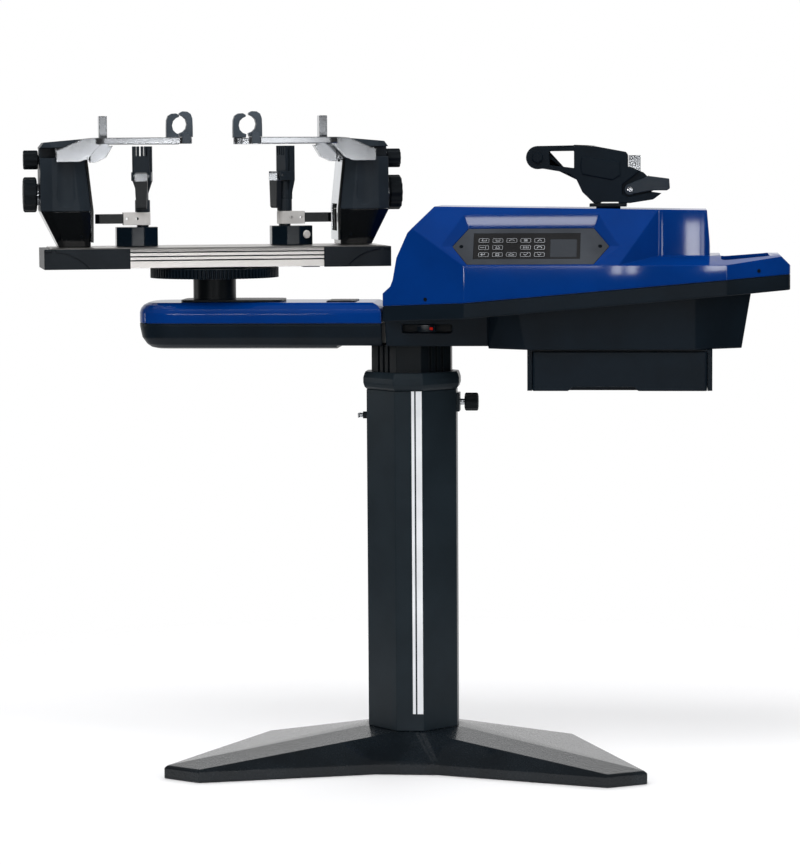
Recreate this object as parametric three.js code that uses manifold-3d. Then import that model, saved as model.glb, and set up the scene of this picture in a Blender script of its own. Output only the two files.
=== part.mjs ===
// Racket stringing machine on a floor stand, in millimetres, with +Z up.
// The origin is on the floor under the column, +X runs to the tension head and -Y is the front.
import * as THREE from 'three';
import { mergeVertices } from 'three/addons/utils/BufferGeometryUtils.js';
import Module from 'manifold-3d';

const wasm = await Module();
wasm.setup();

// Gaps, and how far a cutting tool runs past the face that it cuts
const clearance = 0.3;
const slideGap = 0.5;
const overrun = 6;

// Facet counts
const fineSides = 32;
const smallSides = 16;
const cornerSteps = 4;

// Stand
const base = {
  rimHeight: 16,
  hubHeight: 45,
  edgeBevel: 3,
  hubLedge: 5,
  backHalfWidth: 200,
  backDepth: 100,
  tipHalfWidth: 298,
  tipDepth: 145,
  toeHalfWidth: 250,
  toeDepth: 172,
  notchHalfWidth: 39,
  notchDepth: 105,
};
const column = {
  height: 428,
  halfWidth: 56.5,
  frontHalfWidth: 17,
  halfDepth: 56,
  sideHalfDepth: 14,
  wall: 3,
  bossHalfWidth: 10,
  bossHalfHeight: 12,
  bossDepth: 4,
};
const collar = { height: 22, bulge: 4 };
const neck = {
  halfWidth: 50,
  frontHalfWidth: 15.5,
  halfDepth: 49.5,
  sideHalfDepth: 12.5,
  wall: 3,
  showing: 30,
  inside: 350,
  fluteWidth: 4,
  fluteDepth: 2.5,
};
const heightKnob = {
  drop: 17,
  shaftRadius: 4,
  standoff: 6,
  radius: 11.5,
  length: 17,
  flutes: 8,
  fluteDepth: 1.5,
};
const thumbScrew = {
  drop: 34,
  shaftRadius: 3,
  stubRadius: 4.5,
  stub: 6,
  stem: 4,
  wing: 2,
  wingHalfSpan: 6.5,
  wingHalfWidth: 3,
};

// Turntable arm
const arm = {
  end: -343,
  inner: -33,
  halfWidth: 58,
  endRadius: 46,
  splitHeight: 32,
  height: 58,
  footInset: 22,
  footRise: 28,
  crown: 12,
  stepStart: -90,
  stepHeight: 4,
};

// Housing of the tension unit, with heights above the underside of the arm
const housing = {
  left: -31,
  leftCorner: 73,
  rightCorner: 393,
  right: 471,
  halfDepth: 105,
  endHalfDepth: 60,
  topHalfDepth: 60,
  seamLeft: 53.6,
  seamLeftCorner: 59,
  seamRightCorner: 86.5,
  seamRight: 92,
  ridge: 105,
  topLeftStart: 34,
  topLeft: 177,
  topRightEnd: 369,
  topRight: 171,
  ledge: 115,
  rightShoulder: 12,
  bandHeight: 19,
  undercut: 5,
  tubStart: 100,
  tubLeft: 130,
  tubLeftSlope: 17,
  tubRight: 427,
  tubRightSlope: 15,
  tubCorner: 355,
  tubInset: 15,
  tubEndHalfDepth: 52,
  tubDraft: 5,
  bottom: 1,
  bootHalfDepth: 62,
  bootDraft: 4,
};
const scoop = { start: 262, cornerAlong: 311, front: 62, end: 361, radius: 12 };
const tray = { left: 386, right: 446, inset: 21, endHalfDepth: 62, depth: 22, radius: 8 };
const bay = { left: 30, right: 352, halfDepth: 38, floor: 52, top: 165 };
const slot = { left: 168, right: 336, halfWidth: 8.5 };

// Control panel, measured along the slanted front
const panel = {
  left: 58,
  width: 192,
  apexInset: 19,
  footRise: 1.5,
  footInset: 2.5,
  turnedBack: 8,
  height: 56,
  thickness: 3,
  openingRise: 17,
  openingAside: 6,
  openingApex: 13,
  windowLeft: 25.7,
  windowWidth: 131,
  windowLow: 8.7,
  windowHeight: 40,
  windowDepth: 1.6,
};
const openingReachShare = 1.5;
const keypad = {
  thickness: 1,
  columns: 5,
  rows: 3,
  left: 5.5,
  pitchAlong: 17.1,
  low: 2.5,
  pitchUp: 11,
  keyWidth: 14,
  keyHeight: 7.6,
  keyRise: 0.4,
  keyRadius: 2,
  screenLeft: 94,
  screenWidth: 32.5,
  screenHeight: 28,
  screenDepth: 0.5,
};

// Power switch and mains inlet
const rocker = {
  centre: 24,
  height: 26,
  pocketHalfLength: 31,
  pocketHalfHeight: 5.5,
  pocketDepth: 15,
  halfLength: 12,
  halfHeight: 4.5,
  depth: 8,
  backRoom: 5,
  pinRadius: 1.5,
};
const rockerTilt = 7;
const inlet = {
  centre: 200,
  height: 32,
  halfWidth: 24,
  halfHeight: 12,
  depth: 24,
  flange: 2,
  flangeMargin: 3,
  landing: 4,
  socketHalfWidth: 13,
  socketHalfHeight: 8.5,
  socketDepth: 17,
};

// Tool drawer under the housing
const drawer = {
  left: 155.5,
  width: 214,
  front: -80,
  length: 150,
  height: 48,
  wall: 3,
  floor: 3,
  lid: 2.4,
  plate: 6,
  plateFront: 4,
  grooveHeight: 5,
  grooveDepth: 1.6,
  grooveRise: 32,
  notchLeft: 44,
  notchWidth: 86,
  notchRise: 5,
  notchDepth: 14,
  radius: 4,
};

// Drive inside the housing
const rail = {
  left: 90,
  right: 349,
  halfWidth: 26,
  wall: 4,
  height: 62,
  pillar: 8,
  pillarHalfWidth: 14,
  pillarHeight: 34,
  screwRise: 18,
};
const screw = { radius: 6, journal: 4, overhang: 2.5 };
const motor = {
  left: 33,
  canLength: 45,
  radius: 23,
  faceHalfWidth: 25,
  faceLength: 6,
  faceHeight: 106,
  shaftRadius: 4,
};

// Tension head
const head = {
  centre: 247,
  baseHalfLength: 23,
  baseHalfWidth: 20,
  baseRise: 175,
  baseThickness: 4,
  stemHalfLength: 15,
  stemHalfWidth: 8,
  blockHalfLength: 22,
  blockHalfWidth: 18,
  footGap: 1.5,
  footGapLeft: 9,
  footGapRight: 13,
  nose: 145,
  length: 181,
  height: 72,
  halfWidth: 17,
  cheek: 4.5,
  wheelAlong: 14.5,
  wheelHeight: 57,
  wheelRadius: 14.4,
  rollerRadius: 12.5,
  rollerGroove: 3,
  axleRadius: 3,
  boltRadius: 7,
  boltHead: 2.5,
  panelDepth: 1.2,
  pivotAlong: 129.3,
  pivotHeight: 17,
  pivotBoss: 7,
  leverWall: 3.5,
  leverReach: 27.5,
};
const gripper = { along: 127.5, length: 14.5, low: 44.6, height: 14.7, seatDepth: 2, gap: 3, thickness: 7.5 };
const shelfSlopeShare = 0.369;

// Turntable
const turntable = {
  centre: -250,
  turn: 15,
  plateLeft: 40,
  plateRight: 89,
  plateHalfWidth: 35,
  plateThickness: 2.4,
  postRadius: 27,
  postRise: 29.7,
  spindleRadius: 12,
  gearRadius: 81,
  gearThickness: 12,
  teeth: 100,
  toothDepth: 3.4,
  hubRadius: 40,
  hubHeight: 2,
};
const beam = {
  halfLength: 208,
  halfWidth: 55,
  height: 25.6,
  shoulder: 5,
  grooveDepth: 1.5,
  grooveWidth: 1.4,
  slotHalfWidth: 7,
  slotLip: 3.5,
  slotUndercut: 12,
  slotDepth: 10,
};
const grooveDropShares = [0.25, 0.45, 0.64];
const cap = {
  thickness: 3,
  leftCover: 97,
  rightCover: 76,
  endPlate: 9,
  groove: 5,
  drop: 1.5,
  skirt: 1,
  scoopRadius: 62,
  scoopSink: 41,
  scoopDepth: 1.1,
};

// Towers, measured outwards from the turntable axis and up from the beam
const tower = {
  inner: 157,
  width: 62,
  halfDepth: 40,
  chamferAlong: 14,
  chamferAcross: 9,
  footInset: 0.5,
  footOuterInset: 22,
  footHalfDepth: 31,
  seam: 45.3,
  shoulder: 111,
  shoulderInset: 7,
  shoulderHalfDepth: 37.5,
  pocket: 12.7,
  coreHalfDepth: 14,
  coverRise: 134.7,
  coverFall: 4.7,
  coverInset: 5,
  channelRadius: 22,
  channelDepth: 4.5,
  channelBottom: 62,
  shaftWellHalfDepth: 11,
  shaftWellLow: 55,
  wall: 4,
  slideFootHalfLength: 17,
};
const facePlate = {
  thickness: 3,
  halfWidth: 30,
  low: 6,
  high: 109,
  slotHalfWidth: 20,
  slotLow: 17.7,
  slotHigh: 51.7,
  slotDepth: 24,
};
const bigKnob = {
  rise: 65.7,
  radius: 22,
  length: 16.7,
  flutes: 12,
  fluteDepth: 1.8,
  flange: 3,
  flangeRadius: 14,
  shaftRadius: 4,
  shaftReach: 50,
};
const smallKnob = {
  rise: 109,
  radius: 12.5,
  length: 18,
  flutes: 10,
  fluteDepth: 1.2,
  flange: 1,
  flangeRadius: 6,
  shaftRadius: 3,
  shaftReach: 12,
};
const support = {
  low: 105.3,
  high: 126,
  tip: 127,
  back: 156,
  postInner: 134,
  postWidth: 10,
  postHalfDepth: 10,
  top: 163,
  tongueHalfDepth: 9.5,
  tongueLow: 107,
  tongueHigh: 121,
  tongueReach: 35,
  legWidth: 10,
  legLow: 58,
  footLip: 2,
  footRise: 6,
};
const supportShares = [[0, 1], [0.31, 0.285], [0.76, 0], [1, 0], [1, 1]];

// Side arms and frame jaws
const sideArm = {
  pivot: 190,
  pivotAcross: 28,
  hubRadius: 11,
  linkHalfWidth: 6,
  bladeInner: 143,
  bladeLength: 57,
  bladeLow: 106.2,
  bladeHeight: 29.5,
  bladeAcross: 43,
  bladeThickness: 6,
  barHeight: 8,
  barWidth: 12,
  elbow: 140,
  elbowAcross: 50.5,
  jawAlong: 43,
  jawAcross: 80,
  padRadius: 8,
  pinRadius: 2.5,
  pinHeight: 6,
};
const bladeShares = [
  [1, 0], [1, 0.49], [0.91, 0.53], [0.74, 0.69], [0.49, 0.9], [0.39, 0.97],
  [0, 1], [0, 0.75], [0.09, 0.63], [0.21, 0.36], [0.33, 0.12], [0.49, 0],
];
const jaw = { height: 31.4, depth: 17, thickness: 13, lip: 5, lipDrop: 8, lipHalfWidth: 5, turn: 90 };
const jawShares = [
  [1, 0.14], [0.72, 0.2], [0.5, 0.32], [0.42, 0.5], [0.5, 0.68], [0.72, 0.8], [0.96, 0.86],
  [0.96, 0.93], [0.74, 1], [0.4, 0.99], [0.14, 0.9], [0.02, 0.72], [0, 0.4], [0, 0], [0.95, 0],
];

// String clamps
const clamp = {
  baseAlong: 98,
  baseHalfLength: 26,
  baseHalfWidth: 24,
  flankHalfWidth: 12,
  noseHalfLength: 8,
  baseHeight: 24.4,
  cornerRadius: 4,
  postAlong: 90,
  postRadius: 7.5,
  postTop: 53,
  buttonRadius: 5,
  buttonRise: 13.5,
  buttonLength: 2,
  slideFootHalfLength: 15,
  neckRadius: 9.5,
  neckLow: 43,
  neckHigh: 58,
  waistLow: 54,
  waistHigh: 66,
  waistHalfWidth: 7,
  yokeHigh: 81,
  headHalfWidth: 12.5,
  headFlare: 82,
  toothRoot: 113,
  top: 125.2,
  teeth: 5,
  gapShare: 0.42,
  fixedThickness: 7,
  jawGap: 0.8,
  movingThickness: 5,
  movingLow: 84,
  lugThickness: 2.5,
  lugLow: 82,
  lugHigh: 93,
  lugReach: 15,
};
const strap = {
  low: 26.7,
  height: 16,
  wall: 2,
  reach: 25,
  holeRadius: 1.8,
  grip: 35,
  gripHalfHeight: 6,
  gripHalfWidth: 5,
};
const strapTaperShare = 0.6;
const strapHoleShares = [0.3, 0.8];
const lever = {
  low: 46.7,
  neck: 81.7,
  top: 92.7,
  face: 10.5,
  outerFace: 18,
  headFace: 8,
  lowHalfWidth: 6.5,
  highHalfWidth: 8,
  bevel: 2,
  pivotFace: 12,
  pivotRise: 88,
  pinRadius: 1.6,
};
const clampTurns = { left: 170, right: -60 };

// Finishes of the whole machine
const black = { color: 0x15181b, roughness: 0.45, metalness: 0 };
const satinBlack = { color: 0x14171b, roughness: 0.4, metalness: 0.3 };
const glossBlack = { color: 0x0c0e10, roughness: 0.2, metalness: 0 };
const blue = { color: 0x06207e, roughness: 0.15, metalness: 0 };
const grey = { color: 0x3a3c3f, roughness: 0.5, metalness: 0 };
const steel = { color: 0xb9bcc0, roughness: 0.3, metalness: 1 };
const aluminium = { color: 0xc9cbce, roughness: 0.35, metalness: 1 };
const rubber = { color: 0x1a1a1b, roughness: 0.8, metalness: 0 };

// Heights that the stack of pieces gives
const columnFoot = base.hubHeight + clearance;
const columnTop = columnFoot + column.height;
const collarTop = columnTop + clearance + collar.height;
const deckLevel = collarTop + neck.showing;
const turntableLevel = deckLevel + arm.height + clearance;
const gearBottom = turntable.postRise + clearance;
const beamBottom = gearBottom + turntable.gearThickness + turntable.hubHeight + clearance;
const beamTop = beamBottom + beam.height;
const tubHalfDepth = housing.halfDepth - housing.tubInset;
const panelFoot = housing.ridge + panel.footRise;
const panelFootDepth = housing.halfDepth - panel.footInset;
const railBottom = bay.floor + clearance;
const railTop = railBottom + rail.height;
const screwHeight = railTop + rail.screwRise;

// The panel leans back a little further than the housing's face around it
const faceLean = Math.atan2(housing.topLeft - housing.ridge, housing.halfDepth - housing.topHalfDepth);
const panelLean = faceLean - THREE.MathUtils.degToRad(panel.turnedBack);

// Closes a geometry: only positions, shared vertices, no empty triangles, faces outwards
function weld(geometry) {
  geometry.deleteAttribute('normal');
  geometry.deleteAttribute('uv');
  const merged = mergeVertices(geometry);
  const position = merged.getAttribute('position');
  const corners = merged.index.array;
  const kept = [];
  let volume = 0;
  for (let i = 0; i < corners.length; i += 3) {
    const [a, b, c] = corners.slice(i, i + 3);
    if (a === b || b === c || c === a) continue;
    kept.push(a, b, c);
    const [p, q, r] = [a, b, c].map((k) => new THREE.Vector3().fromBufferAttribute(position, k));
    volume += p.dot(q.cross(r));
  }
  merged.setIndex(volume < 0 ? kept.reverse() : kept);
  return merged;
}

function toSolid(geometry) {
  return new wasm.Manifold(new wasm.Mesh({
    numProp: 3,
    vertProperties: new Float32Array(geometry.getAttribute('position').array),
    triVerts: new Uint32Array(geometry.index.array),
  }));
}

function toGeometry(solid) {
  const { vertProperties, triVerts } = solid.getMesh();
  const geometry = new THREE.BufferGeometry();
  geometry.setAttribute('position', new THREE.BufferAttribute(vertProperties, 3));
  geometry.setIndex(new THREE.BufferAttribute(triVerts, 1));
  return geometry;
}

function join(...geometries) {
  return toGeometry(geometries.map(toSolid).reduce((sum, next) => sum.add(next)));
}

function cut(geometry, ...tools) {
  return toGeometry(tools.map(toSolid).reduce((rest, tool) => rest.subtract(tool), toSolid(geometry)));
}

function common(...geometries) {
  return toGeometry(geometries.map(toSolid).reduce((rest, next) => rest.intersect(next)));
}

// A block between two opposite corners
function block([x0, y0, z0], [x1, y1, z1]) {
  const geometry = new THREE.BoxGeometry(x1 - x0, y1 - y0, z1 - z0);
  geometry.translate((x0 + x1) / 2, (y0 + y1) / 2, (z0 + z1) / 2);
  return weld(geometry);
}

// An outline of [x, y] points as an upright prism, with holes if it has any
function prism(outline, from, to, holes = []) {
  const shape = new THREE.Shape(outline.map((p) => new THREE.Vector2(...p)));
  shape.holes = holes.map((hole) => new THREE.Path(hole.map((p) => new THREE.Vector2(...p))));
  const geometry = new THREE.ExtrudeGeometry(shape, { depth: to - from, bevelEnabled: false });
  geometry.translate(0, 0, from);
  return weld(geometry);
}

// Stands an upright geometry on its side, so that z runs along X or along Y
function alongX(geometry) {
  const axes = [[0, 1, 0], [0, 0, 1], [1, 0, 0]].map((axis) => new THREE.Vector3(...axis));
  return geometry.applyMatrix4(new THREE.Matrix4().makeBasis(...axes));
}

function alongY(geometry) {
  return weld(geometry.rotateX(Math.PI / 2).scale(1, -1, 1));
}

// A prism whose outline is drawn in X and Z and that runs along Y
function sidePrism(outline, from, to) {
  return alongY(prism(outline, from, to));
}

// A prism whose outline is drawn in Y and Z and that runs along X
function endPrism(outline, from, to) {
  return alongX(prism(outline, from, to));
}

function rod(radius, from, to, sides = smallSides) {
  const geometry = new THREE.CylinderGeometry(radius, radius, to - from, sides);
  geometry.rotateX(Math.PI / 2);
  geometry.translate(0, 0, (from + to) / 2);
  return weld(geometry);
}

// A revolve about Z of [radius, height] points that start and end on the axis
function revolve(profile, sides = fineSides) {
  const geometry = new THREE.LatheGeometry(profile.map((p) => new THREE.Vector2(...p)), sides);
  geometry.rotateX(Math.PI / 2);
  return weld(geometry);
}

// Rings of equal count joined from the lowest to the highest, with flat ends
function loft(rings) {
  const count = rings[0].length;
  const index = [];
  for (let level = 0; level < rings.length - 1; level += 1) {
    for (let i = 0; i < count; i += 1) {
      const a = level * count + i;
      const b = level * count + (i + 1) % count;
      index.push(a, b, b + count, a, b + count, a + count);
    }
  }
  const lid = (ring) => THREE.ShapeUtils.triangulateShape(ring.map(([x, y]) => new THREE.Vector2(x, y)), []);
  const last = (rings.length - 1) * count;
  lid(rings[0]).forEach(([a, b, c]) => index.push(a, c, b));
  lid(rings.at(-1)).forEach(([a, b, c]) => index.push(last + a, last + b, last + c));
  const geometry = new THREE.BufferGeometry();
  geometry.setAttribute('position', new THREE.Float32BufferAttribute(rings.flat(2), 3));
  geometry.setIndex(index);
  return weld(geometry);
}

const ringAt = (outline, z) => outline.map(([x, y]) => [x, y, z]);

// One outline at several heights, each with its own outward offset
function layers(outline, levels) {
  return loft(levels.map(([z, outset]) => ringAt(offset(outline, outset), z)));
}

// Moves every side of an anticlockwise outline outwards
function offset(outline, distance) {
  return outline.map((point, i) => {
    const here = new THREE.Vector2(...point);
    const arriving = here.clone().sub(new THREE.Vector2(...outline.at(i - 1))).normalize();
    const leaving = new THREE.Vector2(...outline[(i + 1) % outline.length]).sub(here).normalize();
    const mitre = new THREE.Vector2(arriving.y + leaving.y, -arriving.x - leaving.x);
    return here.addScaledVector(mitre, 2 * distance / mitre.lengthSq()).toArray();
  });
}

// Rounds the corners of an outline, where a corner's third value is its own radius
function rounded(corners, radius, steps = cornerSteps) {
  return corners.flatMap(([x, y, own = radius], i) => {
    const here = new THREE.Vector2(x, y);
    if (own === 0) return [[x, y]];
    const [before, after] = [corners.at(i - 1), corners[(i + 1) % corners.length]]
      .map((p) => new THREE.Vector2(p[0], p[1]).sub(here));
    const reach = own / Math.tan(before.angleTo(after) / 2);
    const start = here.clone().addScaledVector(before.normalize(), reach);
    const end = here.clone().addScaledVector(after.normalize(), reach);
    return new THREE.QuadraticBezierCurve(start, here, end).getPoints(steps).map((p) => p.toArray());
  });
}

const ordered = (a, b) => [Math.min(a, b), Math.max(a, b)];

// Points of an arc from turns in degrees
const arcPoints = (x, y, radius, turns) => turns.map((turn) => [
  x + radius * Math.cos(THREE.MathUtils.degToRad(turn)),
  y + radius * Math.sin(THREE.MathUtils.degToRad(turn)),
]);

const rectangle = (x0, y0, x1, y1) => [[x0, y0], [x1, y0], [x1, y1], [x0, y1]];

// A rectangle or casing section with its four corners cut off
function chamfered(x0, x1, halfDepth, along, across) {
  return [
    [x1, across - halfDepth], [x1, halfDepth - across], [x1 - along, halfDepth], [x0 + along, halfDepth],
    [x0, halfDepth - across], [x0, across - halfDepth], [x0 + along, -halfDepth], [x1 - along, -halfDepth],
  ];
}

// Places shares of a width and a height from a corner
const fromShares = (shares, x, y, width, height) => shares.map(([s, t]) => [x + s * width, y + t * height]);

// The outline of a hand knob with round flutes
function flutedOutline(radius, flutes, depth) {
  const stepsPerFlute = 6;
  return Array.from({ length: flutes * stepsPerFlute }, (_, i) => {
    const turn = 2 * Math.PI * i / (flutes * stepsPerFlute);
    const reach = radius - depth * (1 - Math.cos(turn * flutes)) / 2;
    return [reach * Math.cos(turn), reach * Math.sin(turn)];
  });
}

// A fluted knob on a shaft, along +X from the face that it is screwed into
function knobOnShaft(size, reach, neckLength, neckRadius) {
  const grip = flutedOutline(size.radius, size.flutes, size.fluteDepth);
  const edge = size.fluteDepth;
  const end = neckLength + size.length;
  const handle = layers(grip, [[neckLength, -edge], [neckLength + edge, 0], [end - edge, 0], [end, -edge]]);
  return alongX(join(handle, rod(neckRadius, 0, neckLength + edge), rod(size.shaftRadius, -reach, edge)));
}

function octagon({ halfWidth, frontHalfWidth, halfDepth, sideHalfDepth }) {
  return [
    [frontHalfWidth, halfDepth], [-frontHalfWidth, halfDepth],
    [-halfWidth, sideHalfDepth], [-halfWidth, -sideHalfDepth],
    [-frontHalfWidth, -halfDepth], [frontHalfWidth, -halfDepth],
    [halfWidth, -sideHalfDepth], [halfWidth, sideHalfDepth],
  ];
}

function finish(look) {
  return new THREE.MeshStandardMaterial({ ...look, flatShading: true });
}

function piece(name, geometry, look) {
  const mesh = new THREE.Mesh(geometry, finish(look));
  mesh.name = name;
  return mesh;
}

function group(x, y, z, ...children) {
  const result = new THREE.Group();
  result.position.set(x, y, z);
  result.add(...children);
  return result;
}

// Stand: a faceted casting with two splayed feet and a hub for the column
function baseCasting() {
  const plan = [
    [base.backHalfWidth, base.backDepth], [-base.backHalfWidth, base.backDepth],
    [-base.tipHalfWidth, -base.tipDepth], [-base.toeHalfWidth, -base.toeDepth],
    [-base.notchHalfWidth, -base.notchDepth], [base.notchHalfWidth, -base.notchDepth],
    [base.toeHalfWidth, -base.toeDepth], [base.tipHalfWidth, -base.tipDepth],
  ];
  const casting = loft([
    ringAt(plan, 0),
    ringAt(plan, base.rimHeight - base.edgeBevel),
    ringAt(offset(plan, -base.edgeBevel), base.rimHeight),
    ringAt(offset(octagon(column), base.hubLedge), base.hubHeight),
  ]);
  // Joined with its mirror image, both toes have the same ridge
  return join(casting, weld(casting.clone().scale(-1, 1, 1)));
}

// Outer column: an eight-sided tube with a nut plate for the clamp knob
function columnOuter() {
  const outline = octagon(column);
  const knobHeight = columnTop - heightKnob.drop;
  const screwHeight = columnTop - thumbScrew.drop;
  const boss = block(
    [column.halfWidth - column.wall, -column.bossHalfWidth, knobHeight - column.bossHalfHeight],
    [column.halfWidth + column.bossDepth, column.bossHalfWidth, knobHeight + column.bossHalfHeight],
  );
  const knobReach = column.halfWidth + column.bossDepth + overrun;
  const knobHole = alongX(rod(heightKnob.shaftRadius + clearance, 0, knobReach));
  const screwHole = alongX(rod(thumbScrew.shaftRadius + clearance, -column.halfWidth - overrun, 0));
  return cut(
    join(prism(outline, columnFoot, columnTop, [offset(outline, -column.wall)]), boss),
    knobHole.translate(0, 0, knobHeight),
    screwHole.translate(0, 0, screwHeight),
  );
}

function columnCollar() {
  const bottom = columnTop + clearance;
  const levelShares = [[0, 0], [0.12, 0.6], [0.35, 1], [0.65, 1], [0.88, 0.6], [1, 0.25]];
  const levels = levelShares.map(([rise, bulge]) => [bottom + rise * collar.height, bulge * collar.bulge]);
  const bore = prism(offset(octagon(neck), clearance), bottom - overrun, collarTop + overrun);
  return cut(layers(octagon(column), levels), bore);
}

// Inner column: a fluted tube that slides in the outer one and carries the deck
function columnInner() {
  const outline = octagon(neck);
  const bottom = collarTop - neck.inside;
  const top = deckLevel + arm.stepHeight - clearance;
  const fluteShares = [0.3, 0.5, 0.7];
  const tools = [];
  for (const [side, face] of [[1, 1], [1, -1], [-1, 1], [-1, -1]]) {
    const from = new THREE.Vector2(side * neck.frontHalfWidth, face * neck.halfDepth);
    const to = new THREE.Vector2(side * neck.halfWidth, face * neck.sideHalfDepth);
    const turn = Math.atan2(to.y - from.y, to.x - from.x);
    for (const share of fluteShares) {
      const centre = from.clone().lerp(to, share);
      const flute = block(
        [-neck.fluteWidth / 2, -neck.fluteDepth, bottom - overrun],
        [neck.fluteWidth / 2, neck.fluteDepth, top + overrun],
      );
      tools.push(flute.rotateZ(turn).translate(centre.x, centre.y, 0));
    }
  }
  const hollow = [offset(outline, -neck.wall - neck.fluteDepth)];
  return cut(prism(outline, bottom, top, hollow), ...tools);
}

function heightKnobPiece() {
  const reach = column.halfWidth + column.bossDepth - neck.halfWidth - clearance;
  return knobOnShaft(heightKnob, reach, heightKnob.standoff, heightKnob.shaftRadius);
}

function thumbScrewPiece() {
  const reach = column.halfWidth - neck.halfWidth - clearance;
  const stubEnd = thumbScrew.stub;
  const stemEnd = stubEnd + thumbScrew.stem;
  const wing = block(
    [-thumbScrew.wingHalfSpan, -thumbScrew.wingHalfWidth, stemEnd],
    [thumbScrew.wingHalfSpan, thumbScrew.wingHalfWidth, stemEnd + thumbScrew.wing],
  );
  return alongX(join(
    rod(thumbScrew.shaftRadius, -reach, stemEnd + thumbScrew.wing / 2),
    rod(thumbScrew.stubRadius, clearance, stubEnd),
    wing,
  ));
}

function stand() {
  const screw = piece('thumb_screw', thumbScrewPiece(), steel);
  screw.position.set(-column.halfWidth, 0, columnTop - thumbScrew.drop);
  screw.rotation.y = Math.PI;
  const knob = piece('height_knob', heightKnobPiece(), black);
  knob.position.set(column.halfWidth + column.bossDepth, 0, columnTop - heightKnob.drop);
  return group(
    0, 0, 0,
    piece('base_casting', baseCasting(), satinBlack),
    piece('column_outer', columnOuter(), satinBlack),
    piece('column_collar', columnCollar(), black),
    piece('column_inner', columnInner(), satinBlack),
    knob,
    screw,
  );
}

// Turntable arm: a tray and a crowned cover with one split line
function armPlan(inner) {
  return rounded([
    [arm.end, -arm.halfWidth], [inner, -arm.halfWidth, 0], [inner, arm.halfWidth, 0], [arm.end, arm.halfWidth],
  ], arm.endRadius, 2 * cornerSteps);
}

// The tray's lower edge is rounded all round, but not where the arm meets the housing
function armLower() {
  const edgeShares = [[0, -1], [0.06, -0.66], [0.2, -0.4], [0.5, -0.13], [1, 0]];
  const levels = edgeShares.map(([rise, inset]) => [rise * arm.footRise, inset * arm.footInset]);
  const side = arm.halfWidth + overrun;
  const beyond = arm.inner + arm.footInset + overrun;
  const step = block([arm.stepStart, -side, -overrun], [beyond, side, arm.stepHeight]);
  const pastHousing = block([arm.inner, -side, -overrun], [beyond, side, arm.splitHeight + overrun]);
  const tray = layers(armPlan(arm.inner + arm.footInset), [...levels, [arm.splitHeight, 0]]);
  return cut(tray, step, pastHousing);
}

function armUpper() {
  const crownShares = [[0.5, 0], [0.7, -0.12], [0.88, -0.45], [1, -1]];
  const bottom = arm.splitHeight + clearance;
  const rise = arm.height - bottom;
  const levels = crownShares.map(([up, inset]) => [bottom + up * rise, inset * arm.crown]);
  return layers(armPlan(arm.inner), [[bottom, 0], ...levels]);
}

// Plan of the housing: wide in the middle, with a tapered face at each end
function housingPlan() {
  const ends = [
    [housing.right, -housing.endHalfDepth, housing.rightShoulder],
    [housing.right, housing.endHalfDepth, housing.rightShoulder],
    [housing.rightCorner, housing.halfDepth, 0],
    [housing.leftCorner, housing.halfDepth, 0],
    [housing.left, housing.endHalfDepth, 0],
    [housing.left, -housing.endHalfDepth, 0],
    [housing.leftCorner, -housing.halfDepth, 0],
    [housing.rightCorner, -housing.halfDepth, 0],
  ];
  return rounded(ends, 0);
}

const seamLine = [
  [housing.left, housing.seamLeft],
  [housing.leftCorner, housing.seamLeftCorner],
  [housing.rightCorner, housing.seamRightCorner],
  [housing.right, housing.seamRight],
];

// The slanted split between the two shells, raised or lowered
const seamAt = (rise) => seamLine.map(([x, z]) => [x, z + rise]);

function upperForm() {
  const flareShares = [[0, 0.13], [0.15, 0.2], [0.2, 0.265], [0.28, 0.49], [0.5, 0.74]];
  const leftFlank = fromShares(
    flareShares, housing.left, housing.seamLeft,
    housing.topLeftStart - housing.left, housing.topLeft - housing.seamLeft,
  );
  const elevation = [
    ...seamAt(clearance),
    [housing.right, housing.ledge - housing.rightShoulder],
    [housing.right - housing.rightShoulder, housing.ledge],
    [housing.topRightEnd + housing.undercut, housing.ledge],
    [housing.topRightEnd, housing.topRight],
    [housing.topLeftStart, housing.topLeft],
    ...leftFlank.reverse(),
  ];
  const section = [
    [-housing.halfDepth, 0], [housing.halfDepth, 0],
    [housing.halfDepth, housing.ridge], [housing.topHalfDepth, housing.topLeft],
    [-housing.topHalfDepth, housing.topLeft], [-housing.halfDepth, housing.ridge],
  ];
  return common(
    sidePrism(elevation, -housing.halfDepth - overrun, housing.halfDepth + overrun),
    prism(housingPlan(), 0, housing.topLeft + overrun),
    endPrism(section, housing.left - overrun, housing.right + overrun),
  );
}

// The two scoops beside the panel, which leave an upright block behind a sloping ledge
function scoopTool() {
  const far = housing.right + overrun;
  const way = housing.halfDepth + overrun;
  const top = housing.topLeft + overrun;
  const plan = rounded([
    [scoop.start, -housing.halfDepth, 0], [scoop.start, -way, 0], [far, -way, 0], [far, way, 0],
    [scoop.start, way, 0], [scoop.start, housing.halfDepth, 0],
    [scoop.cornerAlong, scoop.front], [scoop.end + scoop.radius, scoop.front],
    [scoop.end + scoop.radius, -scoop.front], [scoop.cornerAlong, -scoop.front],
  ], scoop.radius);
  const section = [
    [-way, top], [-way, housing.ridge], [-housing.halfDepth, housing.ridge], [-scoop.front, housing.ledge],
    [scoop.front, housing.ledge], [housing.halfDepth, housing.ridge], [way, housing.ridge], [way, top],
  ];
  return common(prism(plan, 0, top), endPrism(section, scoop.start - overrun, far));
}

function trayTool() {
  const halfDepth = housing.halfDepth - tray.inset;
  const corners = [
    [tray.left, -halfDepth], [tray.right, -tray.endHalfDepth],
    [tray.right, tray.endHalfDepth], [tray.left, halfDepth],
  ];
  return prism(rounded(corners, tray.radius), housing.ledge - tray.depth, housing.topLeft);
}

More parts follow.
